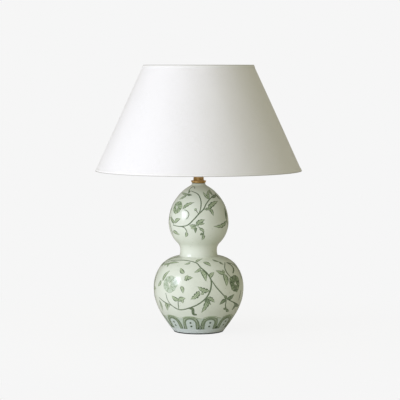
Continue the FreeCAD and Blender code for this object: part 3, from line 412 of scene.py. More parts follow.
def gourd_side(inset, foot, crease, step):
    """The gourd's side from foot to neck: nine arcs, tangent but at the crease, set in by inset."""
    belly, waist, upper, neck = [(place[0] - inset, place[1]) for place in (BELLY, WAIST, UPPER, NECK)]
    low_centre = np.array([BELLY[0] - BELLY_LOW_CURVE, BELLY[1]])
    high_centre = np.array([BELLY[0] - BELLY_HIGH_CURVE, BELLY[1]])
    low_reach = math.sqrt((BELLY_LOW_CURVE - inset) ** 2 - (FOOT_BREAK - BELLY[1]) ** 2)
    high_reach = math.sqrt((BELLY_HIGH_CURVE - inset) ** 2 - (SHOULDER_BREAK - BELLY[1]) ** 2)
    low = np.array([low_centre[0] + low_reach, FOOT_BREAK])
    high = np.array([high_centre[0] + high_reach, SHOULDER_BREAK])
    down = low - low_centre
    over = high - high_centre
    foot_centre = bend_centre(low, (down[1], -down[0]), foot)
    shoulder_centre = bend_centre(high, (-over[1], over[0]), crease)
    flare_foot = (crease[0], CREASE[1])
    flare_centre = bend_centre(waist, (0, -1), flare_foot)
    waist_centre, under_centre, under = hollow_touch(waist, upper, WAIST_HOLLOW + inset)
    neck_centre, over_centre, above = hollow_touch(neck, upper, NECK_HOLLOW + inset)
    runs = [
        arc(foot_centre, foot, low, step), arc(low_centre, low, belly, step),
        arc(high_centre, belly, high, step), arc(shoulder_centre, high, crease, step),
        arc(flare_centre, flare_foot, waist, step), arc(waist_centre, waist, under, step),
        arc(under_centre, under, upper, step), arc(over_centre, upper, above, step),
        arc(neck_centre, above, neck, step),
    ]
    side = np.concatenate(runs)
    apart = np.linalg.norm(np.diff(side, axis=0), axis=1) > 1e-6
    return side[np.concatenate([[True], apart])]


FINE_SIDE = gourd_side(0, FOOT, CREASE, FINE_STEP)
SIDE_LENGTH = np.concatenate([[0], np.cumsum(np.linalg.norm(np.diff(FINE_SIDE, axis=0), axis=1))])
SLOPE = np.gradient(FINE_SIDE, SIDE_LENGTH, axis=0)


def side_radius(length):
    """The gourd's outer radius in mm at a length up its side."""
    return np.interp(length, SIDE_LENGTH, FINE_SIDE[:, 0])


def on_gourd(turn, length, lift):
    """Points in mm on the gourd, turned from the front to the right, at a length up its side.

    lift moves them out along the surface's normal. Returns the points and the normals.
    """
    turn, length, lift = np.broadcast_arrays(turn, length, lift)
    radius = side_radius(length)
    height = np.interp(length, SIDE_LENGTH, FINE_SIDE[:, 1])
    out = np.interp(length, SIDE_LENGTH, SLOPE[:, 1])
    up = -np.interp(length, SIDE_LENGTH, SLOPE[:, 0])
    size = np.hypot(out, up)
    normals = np.stack([out / size * np.sin(turn), -out / size * np.cos(turn), up / size], axis=-1)
    points = np.stack([radius * np.sin(turn), -radius * np.cos(turn), height], axis=-1)
    return points + normals * lift[..., None], normals


def drill(thing, radius, begin, finish, height):
    """Cut a round hole along Y through the mesh between two distances, by a solid cylinder."""
    turn = np.linspace(0, 2 * np.pi, DRILL_SIDES, endpoint=False)
    along = np.repeat([begin, finish], DRILL_SIDES)
    ring = np.stack([radius * np.cos(turn), height + radius * np.sin(turn)], axis=1)
    points = np.insert(np.tile(ring, (2, 1)), 1, along, axis=1)
    caps = np.arange(2 * DRILL_SIDES).reshape(2, DRILL_SIDES)
    faces = list(grid_faces(2, DRILL_SIDES, False, True)[:, ::-1]) + [caps[0], caps[1, ::-1]]
    cutter = new_object("cutter", points * MM, faces)
    cut = thing.modifiers.new("drill", "BOOLEAN")
    cut.object = cutter
    cut.operation = "DIFFERENCE"
    cut.solver = "EXACT"
    bpy.context.view_layer.update()
    shaped = thing.evaluated_get(bpy.context.evaluated_depsgraph_get())
    mesh = bpy.data.meshes.new_from_object(shaped)
    thing.modifiers.clear()
    thing.data = mesh
    bpy.data.objects.remove(cutter)


def build_gourd():
    """The glazed body: its side, rim, inside, floor, recess and foot ring as one turned outline."""
    side = gourd_side(0, FOOT, CREASE, SIDE_STEP)
    cavity_foot = (CAVITY_FOOT, FLOOR_UNDER + WALL)
    inside = gourd_side(WALL, cavity_foot, (CREASE[0] - WALL, CREASE[1] - WALL), CAVITY_STEP)
    # of the three rounded corners only the middle one, three points, is the rim's
    rim = rounded([(NECK[0] - 3, NECK[1]), (NECK[0] - WALL, NECK[1]), inside[-1] - (0, 4)], RIM_ROUND, 3)[3:6]
    below = [
        (ROD_HOLE, FLOOR_UNDER + WALL), (ROD_HOLE, FLOOR_UNDER), (RECESS_RADIUS - 1.5, FLOOR_UNDER),
        (RECESS_RADIUS, FLOOR_UNDER - 1.5), (RECESS_RADIUS, FOOT[1] + 0.8), (RECESS_RADIUS + 0.8, FOOT[1]),
    ]
    outline = np.concatenate([side, rim, inside[::-1][1:], below])
    body = turned("glazed_gourd", outline, GOURD_SEGMENTS)
    drill(body, FLEX_HOLE, *FLEX_WAY, FLEX_HEIGHT)
    drill(body, FLEX_SEAT[0], FLEX_SEAT[1], FLEX_WAY[1], FLEX_HEIGHT)
    return body


# ---- painting: thin closed slabs of colour that follow the gourd ----

PAINT_LIFT = 0.08
PAINT_STEP = 0.012
PAINT_LAYERS = 16
PAINT_ROOT = -0.25
BRUSH = 1.38
STROKE_BRUSH = 1.75
STROKE_STEP = 2.0
LEAF_ACROSS = np.array([-1, -0.86, -0.68, -0.42, -0.14, 0, 0.14, 0.42, 0.68, 0.86, 1])
STROKE_ACROSS = np.array([-1, -0.5, 0, 0.5, 1])
LEAF_ROWS = {"toothed": 25}
LEAF_INK = {"plain": 0.14, "toothed": 0.22, "dark": 0.55, "pale": 0.04, "leafy": 0.28, "deep": 0.50}
RIM_INK = {"pale": 0.42, "leafy": 0.8}
FLOWER_TINT = {"pale": 0.55}
PETALS = ((8, 0.30, 1.0, 0.78), (6, 0.10, 0.66, 0.66))
FLOWER_DABS = 13
STEM_INK = 0.92
LINK_INK = 0.85
LINK_WIDTH = 1.4
LINK_LEAF_WIDTH = 0.45
EDGE_SINE = math.sin(math.radians(78))


class Painting:
    """Patches of underglaze colour gathered into one mesh, each lying a little over the last."""

    def __init__(self, name):
        self.name = name
        self.points, self.normals, self.faces, self.ink, self.tint = [], [], [], [], []
        self.count = 0
        self.layer = 0

    def patch(self, turn, length, ink, tint=0.0):
        """A closed slab over a grid of (turn, length) points, with its ink from 0 to 1."""
        rows, columns = turn.shape
        lift = PAINT_LIFT + PAINT_STEP * (self.layer % PAINT_LAYERS)
        self.layer += 1
        turn_down, turn_across = np.gradient(turn)
        length_down, length_across = np.gradient(length)
        over = (turn_across * length_down - length_across * turn_down).sum()
        top, normals = on_gourd(turn, length, lift)
        low, _ = on_gourd(turn, length, PAINT_ROOT)
        slab = slab_faces(rows, columns)
        if over < 0:
            slab = slab[:, ::-1]
        self.faces.append(slab + self.count)
        self.points += [top.reshape(-1, 3), low.reshape(-1, 3)]
        self.normals += [normals.reshape(-1, 3)] * 2
        self.ink += [np.broadcast_to(ink, turn.shape).ravel()] * 2
        self.tint += [np.full(rows * columns, tint)] * 2
        self.count += 2 * rows * columns

    def finished(self):
        """All patches as one mesh with the gourd's own normals."""
        points = np.concatenate(self.points) * MM
        thing = new_object(self.name, points, np.concatenate(self.faces))
        set_values(thing, "ink", np.concatenate(self.ink))
        set_values(thing, "tint", np.concatenate(self.tint))
        thing.data.normals_split_custom_set_from_vertices(np.concatenate(self.normals).tolist())
        return thing


def leaf(painting, base, tip, width, kind, lobes=4, broad=0.8, turned_about=0.0, tint=0.0):
    """A brushed leaf from base to tip, both (turn, length), width in mm.

    Its half width goes as sin(pi t ** broad) along it, t from 0 to 1, nicked by lobes where
    toothed; it bows sideways a little. Ink is dark along the edge, midrib and slanting veins.
    """
    t = np.linspace(0.0, 1.0, LEAF_ROWS.get(kind, 15))[:, None]
    along = (tip[0] - base[0]) * side_radius(tip[1]), tip[1] - base[1]
    size = math.hypot(*along)
    ahead = np.array(along) / size
    half = BRUSH * width / 2 * np.sin(np.pi * np.clip(t, 0.01, 0.995) ** broad) ** 0.85
    if kind == "toothed":
        half = half * (0.66 + 0.34 * np.abs(np.cos(np.pi * lobes * t)))
    half = half + 0.12
    across = LEAF_ACROSS[None, :] * half
    bow = 0.10 * size * np.sin(np.pi * t) * (-1 if kind == "dark" else 1)
    reach = size * t - 0.16 * np.abs(across)
    side = across + bow
    right = reach * ahead[0] - side * ahead[1]
    up = reach * ahead[1] + side * ahead[0]
    length = np.clip(base[1] + up, 3.0, SIDE_LENGTH[-1] - 2)
    turn = base[0] + right / side_radius(length) + turned_about
    edge = np.abs(LEAF_ACROSS)[None, :]
    fill = LEAF_INK[kind]
    veins = 0.25 * (np.cos(2 * np.pi * (5.0 * t - 0.9 * edge)) > 0.55)
    rim = np.interp(edge, [0.42, 0.68, 0.86, 1.0], [0.0, 0.75, 1.0, 0.9])
    rib = 0.85 * (edge < 0.05)
    ink = fill + (1 - fill) * RIM_INK.get(kind, 1.0) * np.maximum(rim, rib) + veins * (edge < 0.8)
    painting.patch(turn, length, np.clip(ink - 0.12 * t, 0, 1), tint)


def smooth_way(points, spacing):
    """A smooth curve through the points (Catmull-Rom), about spacing mm between its own."""
    points = np.asarray(points, float)
    ends = np.concatenate([[2 * points[0] - points[1]], points, [2 * points[-1] - points[-2]]])
    way = []
    for first, begin, finish, last in zip(ends[:-3], ends[1:-2], ends[2:-1], ends[3:]):
        count = max(2, math.ceil(np.linalg.norm(finish - begin) / spacing))
        t = np.arange(count)[:, None] / count
        way.append(0.5 * (2 * begin + (finish - first) * t
                          + (2 * first - 5 * begin + 4 * finish - last) * t ** 2
                          + (3 * begin - first - 3 * finish + last) * t ** 3))
    return np.concatenate(way + [points[-1:]])


def stroke(painting, places, width, ink=0.8, turned_about=0.0, taper=0.35, tint=0.0):
    """A brushed line through (turn, length) places, width in mm.

    Its half width goes from taper at the ends as the root of sin(pi t), t from 0 to 1 along it.
    """
    places = np.asarray(places, float)
    mean = side_radius(places[:, 1]).mean()
    way = smooth_way(places * (mean, 1), STROKE_STEP)
    ahead = np.gradient(way, axis=0)
    ahead /= np.linalg.norm(ahead, axis=1)[:, None]
    t = np.linspace(0, 1, len(way))
    swell = np.sin(np.pi * np.clip(t, 0.02, 0.98)) ** 0.5
    half = STROKE_BRUSH * width / 2 * (taper + (1 - taper) * swell)
    beside = np.stack([-ahead[:, 1], ahead[:, 0]], axis=1)
    flat = way[:, None] + beside[:, None] * (STROKE_ACROSS[None, :, None] * half[:, None, None])
    length = np.clip(flat[..., 1], 1.0, SIDE_LENGTH[-1] - 2)
    middle = np.abs(STROKE_ACROSS)[None, :] < 0.6
    painting.patch(flat[..., 0] / mean + turned_about, length, ink - 0.12 * middle, tint)


def blot(painting, place, half_width, half_height, ink, turned_about=0.0, tint=0.0):
    """An oval dab of colour on rings about (turn, length), darker at its rim."""
    angle = np.linspace(0, 2 * np.pi, 13)[None, :]
    share = np.array([0.05, 0.5, 0.85, 1.0])[:, None]
    length = place[1] + half_height * share * np.sin(angle)
    turn = place[0] + half_width * share * np.cos(angle) / side_radius(length)
    shaded = ink * (0.7 + 0.3 * share)
    painting.patch(turn[::-1] + turned_about, length[::-1], shaded[::-1], tint)


def within(place, half_size, share, angle):
    """The place at this share of the way from an oval's middle to its rim, at an angle."""
    length = place[1] + share * half_size[1] * math.sin(angle)
    return place[0] + share * half_size[0] * math.cos(angle) / float(side_radius(length)), length


def flower(painting, place, half_size, kind, rng, turned_about=0.0):
    """A peony: two rings of broad scalloped petals about an eye, dabbed, in an oval of half_size mm."""
    tint = FLOWER_TINT.get(kind, 0.0)
    for petals, inner, outer, wide in PETALS:
        for number in range(petals):
            angle = 2 * math.pi * (number + rng.uniform(-0.25, 0.25)) / petals + 0.3 * petals
            base = within(place, half_size, inner, angle)
            tip = within(place, half_size, outer * rng.uniform(0.78, 1.0), angle)
            width = wide * math.hypot(*half_size) * outer * 0.58 * rng.uniform(0.8, 1.15)
            leaf(painting, base, tip, width, kind, 3, 1.5, turned_about, tint)
    for _ in range(FLOWER_DABS):
        share = math.sqrt(rng.uniform(0.02, 0.7))
        spot = within(place, half_size, share, rng.uniform(0, 2 * math.pi))
        dab = rng.uniform(0.7, 1.6)
        blot(painting, spot, dab, dab * rng.uniform(0.6, 1.6), 0.75, turned_about, tint)


def seen_at(points):
    """Turn and length on the gourd of image points, by following their lines of sight.

    Each pass puts the point at the height its line of sight has at the last depth.
    """
    across, down = (np.asarray(points, float).reshape(-1, 2) - IMAGE / 2).T / FOCAL_PIXELS
    tilt = math.atan2(CAMERA_HEIGHT - AIM_HEIGHT, CAMERA_AWAY)
    ahead = math.cos(tilt) - down * math.sin(tilt)
    fall = math.sin(tilt) + down * math.cos(tilt)
    depth = np.full(len(across), 60.0)
    for _ in range(30):
        reach = (CAMERA_AWAY / MM - depth) / ahead
        length = np.interp(CAMERA_HEIGHT / MM - fall * reach, FINE_SIDE[:, 1], SIDE_LENGTH)
        radius = side_radius(length)
        sine = np.clip((CAMERA_SIDE / MM + across * reach) / radius, -EDGE_SINE, EDGE_SINE)
        depth = 0.5 * depth + 0.5 * radius * np.sqrt(1 - sine ** 2)
    return np.stack([np.arcsin(sine), length], axis=1)


# ---- the painted vine as it shows in the photograph, in its image pixels ----
# stems: width in mm, places; leaves of a sprig, each base, tip, width in mm, brushwork;
# flowers: centre, half width and height in mm, brushwork

UPPER_STEMS = {
    "main_stem": (1.5, [
        (173.1, 225.1), (180, 226.4), (187.5, 225.1), (193.8, 219.5), (198.8, 213.9), (203.8, 208.9),
        (206.2, 203.9), (210, 198.9), (213.8, 194.5)]),
    "arched_stem": (1.4, [(199.4, 212.6), (200.9, 207), (200.6, 199.5), (197.5, 193.9), (191.2, 190.8)]),
    "top_tendril": (1.0, [(188.8, 191.7), (190, 188.9), (192.5, 187), (194.5, 187), (194.8, 188.8)]),
    "bud_stalk": (0.9, [(198.8, 213.9), (197.2, 212), (195.9, 209.8)]),
    "inner_curl": (1.0, [(183.8, 209.8), (186.9, 210.8), (188.9, 213.9), (187.8, 217.6), (185.9, 219.2)]),
    "left_stalk": (1.1, [(174.1, 225.1), (172.5, 221.4), (170.6, 217)]),
    "low_stalk": (1.1, [(180, 226.4), (184.1, 227.6), (186.6, 230.8), (186.9, 233.6)]),
    "right_stalk": (1.6, [(227.5, 223.9), (226.6, 219.5), (225.3, 214.5), (224.7, 208.2)]),
    "drooping_stalk": (1.3, [
        (197.5, 226.4), (201.2, 228.9), (203.4, 232.6), (203.1, 237), (201.9, 239.8)]),
    "left_edge_stalk": (1.4, [(169.9, 222), (170.8, 227), (172, 231.4), (173.2, 234.5)]),
}
LOWER_STEMS = {
    "great_loop": (1.7, [
        (161.9, 263.9), (171.7, 260.6), (183.8, 260.2), (195.3, 262.5), (200.7, 267.6), (206.8, 273),
        (211, 279.8), (211, 287.2), (208.8, 293.9), (204.1, 300), (194.6, 306.1), (181.1, 309.8),
        (173, 306.4), (168, 300.7), (165.7, 292.9)]),
    "falling_stem": (1.5, [(211.2, 279.8), (216.3, 287.2), (223, 294.6), (227.1, 298.7)]),
    "right_stem": (1.4, [(224.7, 262.3), (224.7, 267.6), (227.1, 273), (230.8, 277.2)]),
    "far_left_stem": (1.8, [(158.3, 271.6), (155.5, 277.7), (154.4, 283.8), (154.2, 289.2)]),
    "hook": (3.6, [(188.6, 308.1), (192.6, 309.1), (193, 312.2), (193.6, 314.2), (196.8, 314.8)]),
    "fork_stalk": (1.2, [(178.8, 309.1), (178.3, 304.8), (178.1, 300)]),
    "low_right_stalk": (1.4, [(228.1, 299.7), (233.2, 302.1), (238.7, 305.6)]),
    "low_left_stalk": (1.2, [(159, 297.2), (163.7, 301.4), (171.3, 305.4)]),
    "right_crescent": (2.4, [(226.4, 262.5), (230.8, 264.9), (233.5, 268.9), (232.8, 273.3)]),
    "right_outer_arc": (1.6, [(227.1, 262.5), (233.8, 264.9), (238.6, 269.6), (240.6, 275.7)]),
    "right_low_arc": (1.6, [(240.9, 289.9), (239.9, 295.3), (238.6, 300.4)]),
    "cross_stalk": (1.3, [(226.4, 299.4), (225.4, 305.4), (226.4, 309.1)]),
}
UPPER_LEAVES = {
    "left_bud": [
        ((209.7, 199.5), (203, 191.9), 5, "plain"), ((209.2, 198.9), (208.4, 190.1), 4.5, "plain"),
        ((212.5, 195.4), (209.1, 189.2), 4, "plain")],
    "right_bud": [
        ((210.9, 197.3), (215.6, 193.6), 4.5, "dark"), ((215, 193.6), (220.3, 199.8), 4, "dark")],
    "right_sprig": [
        ((207.8, 209.5), (217.8, 201.1), 8.5, "toothed"), ((209.4, 208.9), (213.4, 215.8), 6, "toothed"),
        ((204.4, 209.5), (211.6, 210.1), 4.5, "toothed")],
    "crown_sprig": [
        ((188.1, 193.6), (179.2, 199.5), 5, "toothed"), ((187.5, 193.9), (192.2, 195.2), 4, "dark"),
        ((186.9, 193.6), (182.5, 192.6), 3.5, "plain"), ((188.4, 192.9), (190, 190.4), 3.5, "dark")],
    "middle_leaf": [((182.5, 208.9), (194.5, 202.3), 6.5, "toothed")],
    "left_pair": [
        ((174.7, 222.6), (170.9, 215.4), 5.5, "plain"), ((174.7, 222.9), (180.5, 218.6), 6, "plain")],
    "centre_sprig": [
        ((195.9, 225.8), (189.1, 225.1), 6.5, "toothed"),
        ((195.9, 226.1), (190.6, 228.6), 5.5, "toothed"), ((195.9, 225.8), (205, 219.5), 7.5, "toothed"),
        ((199.4, 224.5), (204.7, 223.6), 4.5, "toothed"), ((196.6, 227.6), (195.5, 233.1), 4, "dark")],
    "drooping_sprig": [
        ((199.4, 228.6), (204.4, 232), 5, "toothed"), ((203.1, 233.6), (200, 235.1), 4, "dark"),
        ((203.4, 234.5), (201.9, 240.1), 5.5, "toothed")],
    "low_drop": [((186.6, 232), (185.6, 237.1), 5, "plain")],
    "low_left_leaf": [((173.2, 231.7), (179.7, 235), 6, "plain")],
    "right_edge_pair": [
        ((226.6, 220.8), (213.8, 226.4), 7.5, "toothed"), ((225.9, 218.9), (224.1, 207.3), 6, "dark")],
    "small_bud": [((196.6, 209.8), (194.1, 208.9), 4.5, "plain")],
}
LOWER_LEAVES = {
    "shoulder_leaf": [((171.7, 258.6), (182.3, 256.8), 3.6, "plain")],
    "crest_pair": [
        ((195.9, 262.3), (202.9, 258.7), 5, "plain"), ((203.4, 262.1), (211, 266.4), 6.5, "plain")],
    "crest_low_leaf": [((190.6, 262.3), (184.4, 264.4), 4, "plain")],
    "left_shoulder_sprig": [
        ((168.3, 263.7), (178.8, 262.7), 5, "plain"), ((168.6, 263), (167.1, 267.3), 4.5, "plain"),
        ((169, 263.2), (163.7, 264.1), 4, "plain")],
    "right_shoulder_pair": [
        ((212.2, 259.6), (219.3, 261.9), 3.6, "dark"), ((219.3, 261.9), (223.4, 264.6), 4, "dark")],
    "upper_drop": [((184, 273.3), (180.6, 267.9), 6.5, "plain")],
    "middle_sprig": [
        ((184.4, 280.1), (193, 277.7), 7, "toothed"), ((185.9, 279.8), (188.2, 274.9), 5, "plain")],
    "stem_pair": [
        ((200.9, 268.1), (194.3, 272.5), 4.5, "plain"), ((200.9, 270.3), (206, 281.4), 7.5, "plain")],
    "stem_bud": [((210.1, 277.6), (214.1, 272.2), 6, "plain")],
    "right_sprig": [
        ((224.7, 273.1), (215.7, 270.4), 6.5, "plain"), ((224.7, 272.7), (222.2, 269.5), 4.5, "plain"),
        ((223.7, 274), (226.5, 286.2), 9, "plain")],
    "left_pair": [
        ((162.6, 280.8), (170, 270.6), 6, "plain"), ((161.4, 280.3), (158, 286.2), 5.5, "plain")],
    "loop_sprig": [
        ((209.2, 291.1), (197.5, 286.6), 8.5, "toothed"), ((199.4, 291.2), (190.6, 299.4), 9, "toothed"),
        ((204.1, 291.9), (200.1, 294.6), 4, "plain")],
    "lower_drop": [((181, 286.2), (183, 293.4), 6, "plain")],
    "fork_sprig": [
        ((178.3, 300.2), (171.7, 295.8), 7, "plain"), ((178.3, 300.7), (185.5, 298.3), 7, "plain"),
        ((181.8, 299.7), (182.8, 303.4), 4.5, "plain")],
    "long_sprig": [
        ((207.1, 297), (201.3, 312.7), 8.5, "toothed"), ((207.1, 297.7), (214.6, 302.4), 7, "toothed"),
        ((206.8, 298), (210.9, 304.8), 5, "dark")],
    "cross_sprig": [
        ((226.1, 299.7), (219.5, 304.6), 6.5, "dark"), ((226.7, 299), (234.2, 294.1), 6.5, "dark"),
        ((226.4, 299), (223.6, 295.3), 5, "dark")],
    "cross_foot": [
        ((226.4, 309.1), (223, 308.8), 4.5, "dark"), ((226.4, 309.1), (228.8, 311.4), 5, "dark")],
    "right_edge_pair": [
        ((235.9, 305.1), (231.9, 310.2), 5.5, "dark"), ((233.8, 302.4), (238.9, 306), 3.6, "dark")],
    "left_edge_sprig": [
        ((159.5, 300), (162.9, 310.8), 5.5, "plain"), ((165.3, 302.7), (167.8, 310.5), 6, "plain"),
        ((167.6, 303.1), (169.3, 307.5), 4.5, "plain")],
}
UPPER_FLOWERS = {"left_flower": ((177, 207.5), (17.5, 17.5), "leafy")}
LOWER_FLOWERS = {
    "left_peony": ((169.6, 284.4), (23.5, 22), "pale"),
    "right_peony": ((235.3, 283.4), (22, 21), "deep"),
}


def paint_vine(name, stems, leaves, flowers, links):
    """The scrolling vine of one gourd: the seen side, the same again behind, and leaves between."""
    rng = np.random.default_rng(SEED)
    painting = Painting(name)
    for about in (0.0, math.pi):
        for width, points in stems.values():
            stroke(painting, seen_at(points), width, STEM_INK, about)
        for centre, half_size, kind in flowers.values():
            flower(painting, seen_at(centre)[0], half_size, kind, rng, about)
        for base, tip, width, kind in sum(leaves.values(), []):
            lobes = 4 if width > 6 else 3
            first, last = seen_at([base, tip])
            leaf(painting, first, last, width, kind, lobes, turned_about=about)
    for side in (math.pi / 2, -math.pi / 2):
        for way, sprigs in links.values():
            stroke(painting, np.array(way) + (side, 0), LINK_WIDTH, LINK_INK)
            for (turn, length), heading, size, kind in sprigs:
                along = size * math.cos(heading) / float(side_radius(length))
                tip = turn + side + along, length + size * math.sin(heading)
                leaf(painting, (turn + side, length), tip, size * LINK_LEAF_WIDTH, kind)
    return painting.finished()


# the unseen quarters: a curling stem and its sprigs, (turn in radians, mm up the side),
# each sprig at (place, heading in radians, length in mm, kind)
UPPER_LINKS = {
    "side_curl": ([(-0.16, 272), (0.02, 284), (0.14, 300), (0.05, 318), (-0.12, 326)], [
        ((-0.08, 276), 2.4, 15, "toothed"), ((0.10, 290), 0.3, 14, "plain"),
        ((0.12, 308), 0.9, 13, "toothed"), ((-0.05, 324), 2.2, 12, "plain"),
    ]),
}
LOWER_LINKS = {
    "belly_curl": ([(-0.20, 96), (-0.02, 84), (0.15, 92), (0.20, 112), (0.08, 128), (-0.10, 126)], [
        ((-0.10, 88), -2.2, 17, "toothed"), ((0.10, 87), -0.7, 16, "plain"),
        ((0.19, 104), 0.2, 15, "toothed"), ((0.04, 130), 1.5, 16, "plain"),
        ((-0.10, 126), 2.7, 15, "toothed"),
    ]),
    "shoulder_curl": ([(-0.14, 150), (0.0, 158), (0.16, 168), (0.22, 184)], [
        ((-0.04, 156), 2.2, 14, "plain"), ((0.10, 164), -0.5, 14, "toothed"),
        ((0.20, 178), 0.7, 12, "plain"),
    ]),
}

LAPPETS = 11
LAPPET_TURN = math.radians(-13.6)
LAPPET_FOOT = 12.5
LAPPET_RADIUS = 66.0
PANEL = {"half": 10.0, "straight": 29, "top": 40.5}
ARCHES = ((11.2, 29, 41.8, 2.4, 0.8, 0.8), (14.6, 31, 46.0, 2.0, 0.66, 0.7))
DOT_HEIGHTS = (21.3, 31.2)
DOT = (2.3, 2.6, 1.45)
WEDGE_TOP = 44
WEDGE_EDGE = ((1.2, 15), (2.2, 26), (4.6, 37), (7.2, 43.5))
WEDGE_FOOT = (20, 7.2, 2.4)
LOZENGE = ([15, 17, 19], [0.4, 1.3, 0.3])
CREST = ((-13.8, 44.5), (-8.05, 47.6), (0, 48.8), (8.05, 47.6), (13.8, 44.5), (20.7, 42.5))


def arch(half, straight, top, count=25):
    """Places of an arch (mm across, mm up): upright sides from the foot, then half an ellipse."""
    angle = np.linspace(0, np.pi, count)
    over = np.stack([half * np.cos(angle), straight + (top - straight) * np.sin(angle)], axis=1)
    return np.concatenate([[(half, LAPPET_FOOT)], over, [(-half, LAPPET_FOOT)]])


def lappet_line(painting, places, width, ink, about, taper):
    """A brushed line through places in mm across and up the band."""
    stroke(painting, np.asarray(places, float) / (LAPPET_RADIUS, 1), width, ink, about, taper)


def lappet_fill(painting, heights, half, about, ink, tint):
    """A filled shape: its half width in mm at each height up the side."""
    heights = np.asarray(heights, float)[:, None]
    across = np.linspace(-1, 1, 9)[None, :] * np.asarray(half, float)[:, None]
    painting.patch(about + across / LAPPET_RADIUS, heights + 0 * across, ink, tint)


def paint_lappets():
    """The band over the foot: arched panels with two dots, wedges between, a scalloped top."""
    rng = np.random.default_rng(SEED)
    painting = Painting("painted_lappet_band")
    pitch = 2 * math.pi / LAPPETS
    for number in range(LAPPETS):
        middle = LAPPET_TURN + pitch * number + rng.normal(0, 0.008)
        grow = 1 + rng.normal(0, 0.02)
        top = PANEL["top"] * grow
        up = np.linspace(LAPPET_FOOT, top, 12)
        over = np.clip((up - PANEL["straight"]) / (top - PANEL["straight"]), 0, 1)
        lappet_fill(painting, up, PANEL["half"] * np.sqrt(1 - over ** 2) + 0.15, middle, 0.0, 1.0)
        for half, straight, high, width, ink, taper in ARCHES:
            lappet_line(painting, arch(half, straight, high * grow), width, ink, middle, taper)
        for height in DOT_HEIGHTS:
            blot(painting, (rng.normal(0, 0.006), height + rng.normal(0, 0.3)), *DOT, middle)
        between = middle + pitch / 2
        dark = number % 2 == 0
        rise = np.linspace(LAPPET_FOOT, WEDGE_TOP, 9)
        share = (rise - LAPPET_FOOT) / (WEDGE_TOP - LAPPET_FOOT)
        lappet_fill(painting, rise, 1.2 + 5.2 * share ** 1.4, between, 0.1 if dark else 0.0, 0.75)
        for side in (-1, 1):
            edge = np.array(WEDGE_EDGE) * (side, 1)
            lappet_line(painting, edge, 1.5, 0.92 if dark else 0.75, between, 0.4)
        feet = np.linspace(LAPPET_FOOT, WEDGE_FOOT[0], 5)
        lappet_fill(painting, feet, np.linspace(*WEDGE_FOOT[1:], 5), between, 1.05, 0.3)
        if dark:
            lappet_fill(painting, *LOZENGE, between, 0.0, 0.6)
        lappet_line(painting, CREST, 1.2, 0.35, middle, 0.9)
    return painting.finished()


# ---- shade ----

SHADE_SEGMENTS = 256
COVER_ROWS = 40
COVER_RIPPLE = 0.35
HEM_ROUND = 0.5
SEAM_ROWS = 24
SEAM_ACROSS = np.array([-5.0, -4.9, -2.5, 0, 2.5, 4.9, 5.0])
SEAM_RAISED = np.array([-0.6, 0.32, 0.36, 0.36, 0.36, 0.32, -0.6])
SEAM_ROOT = 0.6


def shade_edge(height, inset):
    """Radius of the shade's cone at a height, inset mm inside its outer face."""
    share = (np.asarray(height, float) - SHADE_FOOT) / SHADE_HEIGHT
    return SHADE_BOTTOM - (SHADE_BOTTOM - SHADE_TOP) * share - inset


def linen_cover():
    """The cloth's cone with both faces, its radius rippled by slow waves.

    The ripple is a sum of three sines of the turn and height, COVER_RIPPLE mm deep in all.
    """
    rng = np.random.default_rng(SEED)
    heights = np.linspace(SHADE_FOOT + HEM, SHADE_HEAD - HEM, COVER_ROWS)
    outline = np.concatenate([
        np.stack([shade_edge(heights, HEM), heights], 1),
        np.stack([shade_edge(heights[::-1], HEM + COVER), heights[::-1]], 1)])
    turn = np.linspace(0, 2 * np.pi, SHADE_SEGMENTS, endpoint=False)[None, :]
    wave = np.zeros((len(outline), SHADE_SEGMENTS))
    for count in (5, 9, 16):
        wave += np.sin(count * turn + rng.uniform(0, 6) + outline[:, 1:] * rng.uniform(0.005, 0.03))
    radius = outline[:, :1] + wave * COVER_RIPPLE / 3
    up = outline[:, 1:] + 0 * turn
    points = np.stack([radius * np.cos(turn), radius * np.sin(turn), up], -1).reshape(-1, 3)
    return new_object("linen_cover", points * MM, grid_faces(len(outline), SHADE_SEGMENTS, True, True))


def folded_hem(name, edge, inward):
    """Tape folded over a wire ring at the shade's edge; inward is 1 at the foot, -1 at the head."""
    wire = float(shade_edge(edge + inward * 2, WIRE_INSET))
    lip = edge + inward * HEM_HEIGHT
    turn_in = edge + inward * HEM
    corners = [
        (wire, edge), (float(shade_edge(edge, 0.1)), edge), (float(shade_edge(lip, -0.05)), lip),
        (float(shade_edge(lip, HEM)), lip + inward * 0.1), (float(shade_edge(turn_in, HEM + 0.1)), turn_in),
        (wire, turn_in)]
    return turned(name, rounded(corners[::inward], HEM_ROUND, 3), SHADE_SEGMENTS)


def lapped_seam():
    """The strip behind where the cover's end laps over its start, on the shade's outer face."""
    heights = np.linspace(SHADE_FOOT + HEM_HEIGHT, SHADE_HEAD - HEM_HEIGHT, SEAM_ROWS)[:, None]
    face = shade_edge(heights, HEM)
    sheets = []
    for reach in (face + SEAM_RAISED, face - SEAM_ROOT + 0 * SEAM_RAISED):
        turn = np.pi / 2 + SEAM_ACROSS / reach
        sheets.append(np.stack([reach * np.cos(turn), reach * np.sin(turn), heights + 0 * reach], -1))
    slab = slab_faces(*sheets[0].shape[:2])[:, ::-1]
    return new_object("shade_back_seam", np.concatenate(sheets).reshape(-1, 3) * MM, slab)


# ---- threaded metal, felt ----

THREAD_SIDES = 144
THREAD_ROWS_A_TURN = 10
SLEEVE = {"bore": 18.7, "crest": 19.75, "depth": 0.55, "pitch": 2.5, "low": 372, "high": 405,
          "plain_low": 2.0, "plain_high": 1.5, "lip": (15.0, 1.0)}
SCREW_CAP = {"bore": 12.3, "crest": 13.15, "depth": 0.8, "pitch": 3.629, "low": 387.5, "high": 407.5,
             "plain_low": 1.0, "plain_high": 4.0}
